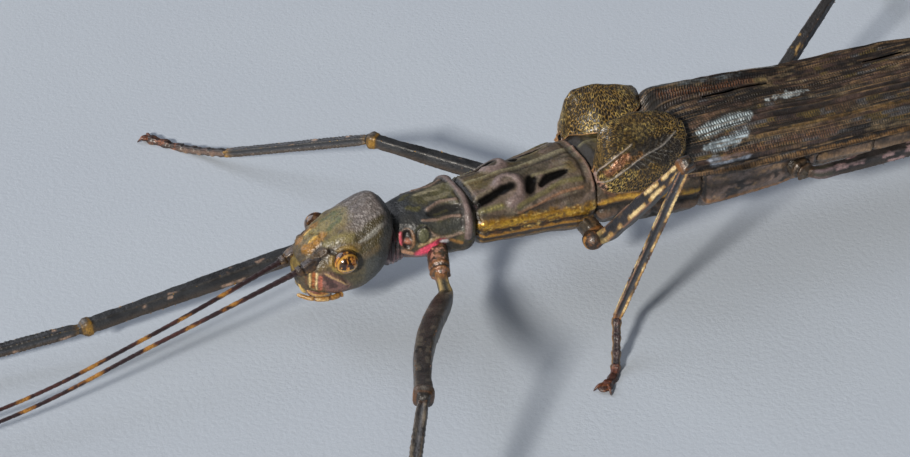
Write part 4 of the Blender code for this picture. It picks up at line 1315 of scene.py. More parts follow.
MESOTHORAX_MARKS: tuple[Mark, ...] = (
    Mark([(-22, -0.9, 20.6), (-17.5, -1.4, 21.3)], 1.1, "#5a4f26", 0.6, 0, 0.6),
    # dark ground beside the humps
    Mark([(-12.8, 0, 21.7), (-11, -2, 21.7), (-8, -1.8, 22)], 1, "#33311f", 0.6, 0, 0.6),
    # middle keel and the line beside it
    Mark([(-21.5, 0.5, 20.8), (-15.6, 0.4, 21.5), (-6.4, 0.4, 22.3), (-1.5, 0.4, 22.9)], 0.28, "#8a8468",
         0.75, 0.32, 0.12, both=False),
    Mark([(-18, -0.4, 21.2), (-9, -0.5, 21.9), (-1.5, -0.6, 22.8)], 0.34, "#24211a", 0.7, -0.12, 0.15,
         both=False),
    Mark([(-9.5, 1.6, 22), (-1.8, 2.2, 22.7)], 0.25, "#7c7660", 0.7, 0.18, 0.1),
    # pale humps
    Mark([(-17.2, -2.7, 21.3), (-16.2, -1.6, 21.7), (-14.9, -1.2, 21.9), (-13.7, -1.8, 21.9),
          (-13.3, -3.2, 21.7), (-13.4, -4.8, 20.8), (-14.4, -5.8, 19.8), (-16, -6.1, 19.1)], 0.75, "#74635f",
         0.95, 0.45, 0.15, soft=0.3),
    Mark([(-16.6, -2.4, 21.5), (-14.9, -1.6, 22.1), (-13.8, -3.2, 21.9)], 0.3, "#94837e", 0.7, 0.05, 0.1),
    # slots: hollows painted near black as painted shade, metallic so that they hardly reflect
    Mark([(-22, -4.6, 19.3), (-19.8, -4.4, 20), (-17.6, -4, 20.8), (-15.4, -4, 21.4)], 0.95, "#070605", 0.99,
         -0.6, 0.12, taper=0.3, soft=0.5, rough=0.45, gilt=0.9),
    Mark([(-16.6, -4.2, 21.1), (-15, -4.2, 21.4)], 1, "#070605", 0.98, -0.3, 0.1, soft=0.3, rough=0.45,
         gilt=0.9),
    Mark([(-11, -3.4, 21.4), (-12, -5.2, 20.4)], 0.95, "#070605", 0.98, -0.5, 0.12, soft=0.35, rough=0.45,
         gilt=0.9),
    Mark([(-9.8, -5, 20.8), (-8.1, -4.2, 21.5), (-5.2, -4.4, 21.9)], 0.95, "#070605", 0.98, -0.5, 0.12,
         taper=0.4, soft=0.35, rough=0.45, gilt=0.9),
    Mark([(-21.5, -3.6, 20.1), (-18.4, -3.1, 20.9)], 0.28, "#7b6f5c", 0.7, 0.2, 0.12),
    Mark([(-10.6, -2.8, 21.6), (-7.4, -3.2, 21.9), (-4.6, -3.5, 22.2)], 0.28, "#6f684c", 0.7, 0.2, 0.12),
    # ridges of the flank
    Mark([(-14.8, -6.4, 18.4), (-10.2, -6.2, 19.7), (-6.6, -5.8, 20.8), (-2.9, -6.6, 20.9)], 0.42, "#635c36",
         0.8, 0.3, 0.2),
    Mark([(-14.9, -6.8, 17.3), (-12.8, -6.9, 17.8), (-9.2, -6.8, 18.8), (-6.1, -7, 19.6), (-3.2, -7.3, 19.8)],
         0.26, "#8c6242", 0.6, 0.24, 0.12),
    Mark([(-14.8, -6.9, 16.9), (-9.2, -7.1, 17.9), (-3.2, -7.6, 18.6)], 0.5, "#2b2013", 0.75, -0.2, 0.2),
    Mark([(-22, -5.7, 18.7), (-20.4, -5.8, 18.9), (-17.8, -6, 19)], 0.5, "#6f6a42", 0.7, 0.1, 0.3),
    # gold stripe and the brown flank under it
    Mark(beside(GOLD_FRONT, 0, 2.4), 1.6, "#2e2116", 0.85, 0, 0.6),
    Mark(GOLD_FRONT, 1, "#a67a24", 0.92, 0.16, 0.7, rough=-0.12, gilt=0.6),
    Mark(GOLD_FRONT, 0.4, "#dcae44", 0.8, 0.1, 0.5, rough=-0.1, gilt=0.7),
    Mark(beside(GOLD_FRONT, 0.1, 1.35), 0.3, "#1b120b", 0.9, -0.2, 0.2),
    Mark(beside(GOLD_FRONT, 0.15, 2.1), 0.28, "#b58432", 0.75, 0.15, 0.35, gilt=0.3),
    Mark(beside(GOLD_FRONT, 0.6, 3.6), 0.3, "#8a6a34", 0.6, 0.1, 0.4),
    Mark([(-21, -6, 17.7), (-15, -6.7, 17)], 0.3, "#3a2c18", 0.7, -0.15, 0.25),
    # rear border
    Mark([(-1.3, 0, 22.9), (-1.1, -2.6, 22.6), (-1.1, -5.6, 21.2), (-1.3, -7.4, 18.6)], 0.3, "#856a5e", 0.85,
         0.3, 0.12),
    Mark([(-2.5, 0, 22.8), (-2.3, -4.4, 21.9), (-2.5, -6.6, 20.4)], 0.4, "#1f1b13", 0.7, -0.2, 0.15),
    # the near-black front edge under the collar: painted shade in the gap
    Mark([(-21.7, 0, 20.3), (-21.7, -4, 19.5), (-21.9, -6.2, 17)], 0.35, "#15120e", 0.85, -0.1),
)

METATHORAX_MARKS: tuple[Mark, ...] = (
    Mark([(0.4, 0, 22.9), (3, 0, 23.1), (6, 0, 22.8)], 2.4, "#55502f", 0.7, 0.1, 0.7),
    Mark([(0.2, 0.8, 22.8), (0.4, -2.4, 22.6), (1, -5, 21.8), (1.6, -6.4, 20.6)], 1.3, "#15110d", 0.95, 0,
         0.5, rough=0.3),
    Mark([(1.9, 0.2, 22.9), (2.4, -3.4, 22.6), (2.6, -5.6, 21.6)], 0.5, "#4c463c", 0.8, 0, 0.4, rough=0.2),
    Mark([(1.8, -3.2, 22.8), (4.6, -2.2, 22.9)], 0.4, "#6c6444", 0.6, 0.2, 0.2),
    Mark([(0.2, 0.6, 22.8), (7, 0.6, 22.4)], 0.3, "#7e7856", 0.6, 0.25, 0.15, both=False),
    # swollen root of the wing
    Mark([(0.1, -6.3, 21), (0.6, -6.9, 19.8)], 0.8, "#9c8078", 0.85, 0.35, 0.25),
    Mark([(1.2, -7.6, 18.4), (2.2, -7.9, 17.6)], 0.7, "#6a4b36", 0.8, 0.35, 0.3),
    Mark([(0.9, -6.9, 20.4), (2.4, -7.6, 19)], 0.4, "#130e0a", 0.9, -0.3, 0.15),
    Mark(GOLD_REAR, 0.7, "#a87a28", 0.85, 0.2, 0.4, taper=0.5, rough=-0.1, gilt=0.3),
    Mark(GOLD_REAR, 0.28, "#dcae48", 0.8, 0.1, 0.3, taper=0.5, gilt=0.35),
    Mark(beside(GOLD_REAR, 0, 1.5), 0.5, "#140f0b", 0.85, -0.35, 0.35),
    Mark(beside(GOLD_REAR, 0.4, 3.2), 0.9, "#6e5748", 0.7, 0.25, 0.6),
    Mark([(10, -8.4, 13.6), (10.6, -7.6, 10.4)], 0.5, "#120d0a", 0.8, -0.4, 0.3),
    Mark([(4, -7.9, 13.6), (3.4, -7.2, 10.4)], 0.5, "#120d0a", 0.7, -0.3, 0.3),
)

MEDIAN_MARKS: tuple[Mark, ...] = (
    Mark([(20.4, -7.9, 11), (30, -8, 10.8), (42, -7.6, 11.2)], 0.6, "#9a6c3c", 0.75, 0.2, 0.6),
    Mark([(20.6, -8.5, 14.6), (30, -8.9, 14), (36, -8.7, 14)], 0.5, "#15100d", 0.7, -0.25, 0.6),
    Mark([(20.5, -8.6, 16.6), (30, -9, 16.4), (42, -8.5, 16.2)], 0.5, "#7d6c66", 0.6, 0.2, 0.4),
    Mark([(37.6, -7.6, 14.6)], 2.6, "#120d0b", 0.9, -0.5, 0.5, soft=0.3),
    Mark([(20.2, 0, 20.8), (20.2, -7.6, 17.4), (20.3, -8, 11)], 0.3, "#17120f", 0.8, -0.1),
)


@dataclass
class Thorax:
    """The neck, the three lengths of the thorax and the first segment that is grown to them."""

    neck: tuple = ((-39.4, 4.4, 17.6, 10.6, 2.4, 2.4), (-37, 4.7, 18.4, 10.4, 2.4, 2.4),
                   (-34.8, 4.6, 18.6, 10.8, 2.4, 2.4))
    pronotum: tuple = ((-36, 4.4, 18.7, 12.2, 2.6, 2.2), (-35, 5, 19.4, 11.5, 2.3, 2.4),
                       (-32.2, 5.8, 20.2, 10.8, 2.3, 2.4), (-29, 6.2, 20.6, 10.4, 2.3, 2.4),
                       (-26, 6.6, 21, 10.3, 2.3, 2.4), (-23.9, 7.3, 21.4, 10.5, 2.2, 2.4),
                       (-23.1, 7.1, 21.1, 10.9, 2.2, 2.4), (-22.5, 6.3, 20.7, 11.6, 2.6, 2.2))
    mesonotum: tuple = (
        (-22.1, 5.9, 20, 11.8, 2.6, 2.2), (-21, 6.6, 20.8, 10.8, 2.4, 2.5), (-15, 6.9, 21.4, 10.3, 2.4, 2.6),
        (-8, 7.3, 22.1, 9.8, 2.5, 2.6), (-2.8, 8, 22.9, 9.4, 2.5, 2.6), (-1.2, 7.8, 22.7, 9.6, 2.5, 2.4),
        (-0.5, 7.2, 22, 10.3, 2.6, 2.2),
    )
    metanotum: tuple = (
        (-0.1, 7.2, 22.4, 10.4, 2.6, 2.2), (1.2, 7.8, 23.2, 9.4, 2.7, 2.5), (5, 8, 23, 8.8, 2.7, 2.5),
        (8.4, 8.2, 21.9, 8.3, 2.6, 2.6), (18.4, 8.7, 21.4, 7.9, 2.6, 2.6), (19.6, 8.1, 20.7, 8.6, 2.5, 2.2),
    )
    median: tuple = (
        (20, 8.1, 20.7, 8.6, 2.5, 2.2), (21.4, 8.8, 21.3, 7.9, 2.6, 2.6), (31, 9, 21.3, 8.4, 2.6, 2.6),
        (41.8, 8.6, 20.9, 9.3, 2.5, 2.5), (43.2, 7.9, 20.2, 10.2, 2.4, 2.2),
    )
    inner: tuple = ((-36.6, 4.3, 18.6, 12.6, 2.3, 2.3), (-33, 4.4, 18.4, 12.2, 2.3, 2.3),
                    (-22.3, 5.5, 19.9, 11.9, 2.4, 2.4), (-0.3, 6.8, 21.7, 10.8, 2.5, 2.4),
                    (19.8, 7.7, 20.2, 9.1, 2.5, 2.4), (43.4, 7.4, 19.6, 10.4, 2.4, 2.3),
                    (68, 6.7, 18, 9.1, 2.3, 2.3), (92, 5.4, 14.8, 6.7, 2.2, 2.3),
                    (116, 4.1, 10.8, 4.4, 2.2, 2.3), (131, 2.2, 8.6, 5.4, 2.2, 2.2))
    step: float = 0.19

    def build(self) -> None:
        """Builds every plate and the soft skin between them."""
        self._soft_skin()
        self._neck()
        self._prothorax()
        self._mesothorax()
        self._metathorax()
        self._median()

    def _plate(self, table: tuple, tint: str, rough: float, columns: int) -> Skin:
        """A plain skin over one table of sections."""
        rows = max(int((table[-1][0] - table[0][0]) / self.step), 8)
        return Skin(body_rings(table, rows, columns), tint, rough)

    def _soft_skin(self) -> None:
        """The soft membrane that shows in the gaps between the plates, all along the trunk."""
        skin = Skin(body_rings(self.inner, 340, 48), "#3a2624", 0.55)
        skin.clouds(1.5, "#5e3a38", 0.6, 0, 61)
        skin.lift += 0.1 * np.sin(skin.base[..., 0] * 2 * math.pi / 1.1)
        put("soft_trunk_membrane", skin, JOINT_SKIN, "olive_cuticle")

    def _neck(self) -> None:
        """The neck: a wrinkled membrane, dark above and pink at the sides."""
        skin = Skin(body_rings(self.neck, 40, 120), "#241c1a", 0.5)
        skin.clouds(0.9, "#4a3433", 0.6, 0, 63)
        skin.mark([
            Mark([(-38, -4.4, 13.2), (-36, -4.4, 12), (-34.8, -3.6, 11.4)], 1.4, "#62484e", 0.85, 0, 0.6),
            Mark([(-37.6, -4.4, 12.6), (-36.6, -4, 11.8)], 0.35, "#cdb4b0", 0.7, 0.1, 0.4),
        ])
        skin.lift += 0.12 * np.sin(skin.base[..., 0] * 2 * math.pi / 0.8)
        skin.roughen(0.7, 0.1, 64)
        put("neck_membrane", skin, JOINT_SKIN, "olive_cuticle", "neck")

    def _prothorax(self) -> None:
        """The first length: a saddle with two slots, a raised rear collar and soft folds at the flank."""
        skin = self._plate(self.pronotum, "#38332b", 0.52, 230)
        skin.weather((2.6, "#4e492a", 0.8, -0.1, 71), (1.6, "#23251f", 0.7, 0.1, 72))
        z = skin.base[..., 2]
        skin.mark(PROTHORAX_MARKS)
        low = ease(13.5, 11.5, z)
        skin.paint(low * 0.8, "#3c3028")
        skin.clouds(1.1, "#8c6a44", 0.5, 0.1, 75, only=low)
        skin.roughen(0.9, 0.05, 73)
        skin.roughen(2.2, 0.07, 74, 1.5)
        put("pronotum_plate", skin, SMOOTH_PLATE, "olive_cuticle", "prothorax")

    def _mesothorax(self) -> None:
        """The long second length: middle keel, four slots, two pale humps and the gold flank stripe."""
        skin = self._plate(self.mesonotum, "#56483a", 0.5, 230)
        x, y, z = np.moveaxis(skin.base, -1, 0)
        humps = sum(np.exp(-((x + 15) ** 2 + (y - middle) ** 2) / 2.2**2) for middle in (-3.6, 3.6))
        skin.lift += 0.9 * humps * ease(15, 18, z)
        skin.weather((3, "#6c5c52", 0.85, -0.15, 81, 1.6), (1.5, "#2d291c", 0.7, 0.12, 82, 1.6),
                     (2.2, "#5c4d20", 0.6, 0.15, 89, 1.8), (1.2, "#7c7562", 0.35, 0.25, 83, 1.4))
        skin.mark(MESOTHORAX_MARKS)
        for number, at in enumerate(np.arange(-21.4, -17.4, 0.62)):
            skin.mark([Mark([(float(at), -5.9, 18.7 + 0.06 * number)], 0.24, "#8f8448", 0.7, 0.24, 0.05)])
        stripe = ease(17.2, 16.6, z) * ease(13.8, 14.6, z)
        skin.clouds(0.7, "#5c3a12", 0.6, 0.15, 84, stretch=3, only=stripe)
        # pale gold flecks: partly the stripe's own colour, partly painted glints
        skin.clouds(0.5, "#f4d27a", 0.5, 0.3, 85, stretch=2.5, only=stripe)
        skin.clouds(0.45, "#2e1a08", 0.8, 0.2, 79, stretch=3, only=stripe)
        skin.roughen(0.55, 0.1, 78, 2, only=stripe)
        low = ease(13, 11, z)
        skin.paint(low * 0.8, "#3a2c20")
        skin.clouds(1.1, "#8c6a3a", 0.5, 0.1, 86, stretch=3, only=low)
        skin.roughen(0.9, 0.05, 87, 1.5)
        skin.roughen(2.4, 0.08, 88, 1.8)
        put("mesonotum_plate", skin, SMOOTH_PLATE, "olive_cuticle", "mesothorax")

    def _metathorax(self) -> None:
        """The third length, which carries both pairs of wings."""
        skin = self._plate(self.metanotum, "#463a2c", 0.5, 190)
        skin.weather((2, "#6a5440", 0.7, -0.05, 91, 1.8), (1.3, "#1f1813", 0.75, 0.1, 92, 1.5))
        skin.mark(METATHORAX_MARKS)
        skin.roughen(1.4, 0.14, 93)
        skin.roughen(0.6, 0.05, 94)
        put("metanotum_plate", skin, SMOOTH_PLATE, "olive_cuticle", "metathorax")

    def _median(self) -> None:
        """The median segment: a pinkish brown flank with black blotches and a tan lower edge."""
        skin = self._plate(self.median, "#5f4e45", 0.5, 190)
        skin.clouds(2.4, "#7c6a62", 0.7, -0.1, 101, stretch=1.6)
        skin.clouds(1.8, "#17110f", 0.9, 0.12, 102, stretch=(2, 1, 1.2), fade=0.2)
        skin.clouds(0.8, "#a08058", 0.5, 0.25, 103, stretch=2.5)
        skin.mark(MEDIAN_MARKS)
        skin.roughen(1.6, 0.13, 104)
        skin.roughen(0.6, 0.05, 105)
        put("median_segment_plate", skin, BELLY_PLATE, "olive_cuticle", "median_segment")


@dataclass
class Abdomen:
    """The six like segments, the tip, the plate under it and the two tail feelers."""

    outline: tuple = (
        (43.6, 7.9, 20.2, 9.9, 2.3, 2.3), (68, 7.4, 18.8, 8.4, 2.3, 2.3), (92, 6.2, 15.6, 5.9, 2.2, 2.3),
        (115.6, 4.8, 11.6, 3.6, 2.2, 2.3), (127, 3.6, 9.8, 4, 2.2, 2.2), (135, 2, 8.6, 5.6, 2.2, 2.2),
    )
    subgenital: tuple = (
        (117, 2.2, 3.1, 2.4, 2.2, 2.2), (121, 3.2, 3.3, 1.4, 2.4, 2), (128, 2.6, 3.4, 1.3, 2.4, 2),
        (135, 1.5, 4, 2.4, 2.2, 2), (140, 0.5, 4.6, 4, 2, 2),
    )
    segment_start: float = 43.6
    segment_length: float = 12.0
    segments: int = 6
    tip_end: float = 135.0
    gap: float = 0.3
    step: float = 0.3

    def build(self) -> None:
        """Builds every segment and the tail."""
        for number in range(self.segments):
            start = self.segment_start + number * self.segment_length
            self._segment(f"abdomen_{number + 2}", start, start + self.segment_length - self.gap, number)
        tail = self.segment_start + self.segments * self.segment_length
        self._segment("abdomen_tip", tail, self.tip_end, self.segments + 1)
        self._operculum()
        for side, name in SIDES:
            self._cercus(side, name)

    def _ringed(self, start: float, end: float) -> list[tuple[float, ...]]:
        """The sections of one segment, drawn in at both rims and slightly at its waist.

        Args:
            start: the segment's front, as x.
            end: its rear.

        Returns:
            The rows for body_rings.
        """
        curve = Curve.of(self.outline)
        rows = []
        for x, inset in ((start, 0.35), (start + 1, 0), ((start + end) / 2, 0.12), (end - 1, 0), (end, 0.35)):
            half, top, bottom, roof, keel = curve(x)[0]
            rows.append((x, half - inset, top - inset, bottom + inset, roof, keel))
        return rows

    def _segment(self, node: str, start: float, end: float, number: int) -> None:
        """One segment: back plate above, belly plate below and a pale fold along the flank between them.

        Args:
            node: the CAD node that it stands for.
            start: its front, as x.
            end: its rear.
            number: its number, which picks its pattern.
        """
        rows = int((end - start) / self.step)
        skin = Skin(body_rings(self._ringed(start, end), rows, 120), "#4b3d33", 0.52)
        seed = 110 + 7 * number
        x, z = skin.base[..., 0], skin.base[..., 2]
        _, top, bottom, _, _ = Curve.of(self.outline)(x.ravel()).T
        level = (z - ((top + bottom) / 2).reshape(x.shape)) / ((top - bottom) / 2).reshape(x.shape)
        skin.clouds(2.6, "#6d5a4c", 0.7, -0.05, seed, stretch=2)
        skin.clouds(1.6, "#211913", 0.8, 0.15, seed + 1, stretch=2.4, fade=0.25)
        skin.clouds(0.9, "#9a7c56", 0.45, 0.25, seed + 2, stretch=2.2)
        fold = bell(level + 0.25, 0.1)
        skin.paint(fold * 0.6, "#93795e")
        skin.lift += 0.25 * fold - 0.2 * bell(level + 0.42, 0.06)
        skin.paint(ease(-0.45, -0.6, level) * 0.5, "#5c4c38")
        belly = bell(skin.base[..., 1], 0.6) * (level < 0)
        skin.paint(belly * 0.5, "#8a7350")
        skin.lift += 0.18 * belly
        rim = bell(x - start, 0.5) + bell(x - end, 0.6)
        skin.paint(np.clip(rim, 0, 1) * 0.55, "#2a1f18")
        skin.lift += 0.12 * bell(x - end + 1, 0.4)
        skin.lift += 0.035 * np.sin(x * 2 * math.pi / 1.15 + 2 * grain(skin.base, 3, seed + 3))
        skin.roughen(1.2, 0.06, seed + 4)
        put(f"{node}_plate", skin, BELLY_PLATE, "brown_abdomen_cuticle", node)

    def _operculum(self) -> None:
        """The boat-shaped plate under the tip that holds the eggs as they are laid."""
        skin = Skin(body_rings(self.subgenital, 90, 60), "#5a4630", 0.5)
        skin.weather((1.8, "#8a6e48", 0.6, 0, 171, 2.5), (1.1, "#241a12", 0.7, 0.15, 172, 2))
        skin.mark([Mark([(118, 0, 2.2), (128, 0, 1.3), (139, 0, 3.6)], 0.35, "#9a7c4c", 0.6, 0.1)])
        skin.roughen(0.8, 0.06, 173)
        put("operculum_plate", skin.mesh("operculum_plate", lowest=0.4), BELLY_PLATE, "brown_abdomen_cuticle",
            "subgenital_plate")

    def _cercus(self, side: int, name: str) -> None:
        """One short leaf-shaped tail feeler.

        Args:
            side: -1 for the left side, 1 for the right one.
            name: the side's name.
        """
        share = np.linspace(0, 1, 36)
        path = np.array([132, side * 2.2, 8.2]) + share[:, None] * np.array([7.4, side * 1.1, -0.6])
        halves = Curve([0, 0.2, 0.5, 0.85, 1], [0.42, 0.6, 0.75, 0.55, 0.28])(share)[:, 0]
        skin = Skin(sweep(path, halves, 20).points, "#54402e", 0.5)
        skin.clouds(1, "#8c6c46", 0.6, 0.05, 175)
        skin.roughen(0.6, 0.06, 176)
        put(f"tail_feeler_{name}", skin, BELLY_PLATE, "brown_abdomen_cuticle", f"cercus_{name}")


# ---------------------------------------------------------------- wings
@dataclass(frozen=True)
class NetWing(Finish):
    """The leathery forewing: thickened membrane between a fine net of raised gold-olive veins.

    The veins catch the light and the cells between them stay dark.

    Attributes:
        name: the material's name.
        cell: size of one cell of the net, in mm.
        stretch: how much longer a cell is across the wing than along it.
        vein: share of a cell that its vein takes.
        ground: colour of the cells.
    """

    name: str = "forewing_membrane"
    cell: float = 0.26
    stretch: float = 3.3
    vein: float = 0.14
    ground: str = "#17100a"

    def shaded(self, shade: Shade) -> bpy.types.Material:
        """Lays the net over the UV map, which is in mm.

        Args:
            shade: the new material's nodes.

        Returns:
            The finished material.
        """
        spread = shade.node("ShaderNodeUVMap", uv_map="UVMap").outputs[0]
        bent = spread
        for size, reach in ((1.3, 0.28), (0.45, 0.1)):
            bend = shade.noise(size, 2).outputs["Color"]
            bent = shade.node("ShaderNodeVectorMath", {0: bend, 1: (reach,) * 3, 2: bent},
                              operation="MULTIPLY_ADD").outputs[0]
        laid = shade.stretched(bent, (1 / (self.cell * self.stretch), 1 / self.cell, 1))
        net = shade.node("ShaderNodeTexVoronoi", {"Vector": laid, "Scale": 1, "Randomness": 1},
                         feature="DISTANCE_TO_EDGE", voronoi_dimensions="2D")
        line = shade.remap(net.outputs["Distance"], self.vein * 0.5, self.vein * 2, 1, 0)
        clouds = shade.noise(0.55).outputs[0]
        broken = shade.math("MULTIPLY", line, shade.remap(clouds, 0.32, 0.52, 0.3, 1))
        shown = shade.math("MAXIMUM", broken, shade.math("SUBTRACT", 1, shade.pitted))
        vein = shade.dimmed(shade.tint, shade.remap(clouds, 0.35, 0.7, 0.55, 1.5))
        colour = shade.mix(shown, rgba(self.ground), vein)
        normal = shade.bump(clouds, 0.06, shade.bump(shown, 0.16))
        return shade.done(Base_Color=colour, Metallic=shade.gilt, Roughness=shade.rough, Coat_Weight=0.15,
                          Coat_Roughness=0.2, Normal=normal)


@dataclass(frozen=True)
class LadderWing(Finish):
    """The folded hindwing: thin membrane in long strands between veins, with a ladder of cross-veins.

    Attributes:
        name: the material's name.
        rung: spacing of the cross-veins, in mm.
    """

    name: str = "folded_hindwing_membrane"
    rung: float = 0.52

    def shaded(self, shade: Shade) -> bpy.types.Material:
        """Lays the ladder over the UV map, whose U counts strands and whose V is mm along the wing.

        Args:
            shade: the new material's nodes.

        Returns:
            The finished material.
        """
        spread = shade.node("ShaderNodeUVMap", uv_map="UVMap").outputs[0]
        across, along, _ = shade.node("ShaderNodeSeparateXYZ", {0: spread}).outputs
        strand = shade.math("FLOOR", across)
        chance = shade.node("ShaderNodeTexWhiteNoise", {"W": strand}, noise_dimensions="1D").outputs[0]
        slant = shade.math("MULTIPLY_ADD", shade.math("FRACT", across), 0.9,
                           shade.math("MULTIPLY", chance, 9))
        wander = shade.math("MULTIPLY_ADD", shade.noise(2.5, 3).outputs[0], 3, slant)
        step = shade.math("MULTIPLY_ADD", along, 2 / self.rung, wander)
        rung = shade.remap(shade.math("PINGPONG", step, 1), 0.22, 0.62, 1, 0)
        rungs = shade.math("MULTIPLY", rung, shade.pitted)
        clouds = shade.noise(0.9).outputs[0]
        plain = shade.dimmed(shade.tint, shade.remap(clouds, 0.34, 0.68, 0.5, 1.5))
        colour = shade.dimmed(plain, shade.remap(rungs, 0, 1, 1, 0.12))
        normal = shade.bump(clouds, 0.07, shade.bump(rungs, 0.09, None, True))
        return shade.done(Base_Color=colour, Metallic=shade.gilt, Roughness=shade.rough, Coat_Weight=0.15,
                          Coat_Roughness=0.2, Normal=normal)


BRONZE_PATCH = ((0.7, -8.7, 22.2), (2.4, -9.4, 23.8), (3.9, -9.4, 25))
BLACK_FIELD = ((5.4, -9.9, 24.2), (8.7, -9.6, 25.8), (11.3, -9.4, 25.6), (12.6, -9.6, 24.9),
               (10.3, -10.4, 24.2))
# the two stout veins from the forewing's base: the inner one and the outer one
STOUT_VEINS: tuple[Mark, ...] = (
    Mark([(-0.4, -6.6, 20.6), (0, -7.2, 22.2), (0.4, -8.2, 23.5), (2.5, -9, 25.5), (4.9, -9, 26.9)],
         0.15, "#8a8078", 0.95, 0.28, 0.02, soft=0.4),
    Mark([(-0.4, -6.9, 20.4), (0.7, -8.8, 20.8), (3.2, -10, 22.9), (5.7, -10.1, 24.3), (6.8, -10, 24.8),
          (10.2, -9.6, 25.6), (13.5, -8.4, 27)], 0.15, "#7c7772", 0.95, 0.28, 0.02, soft=0.4),
)


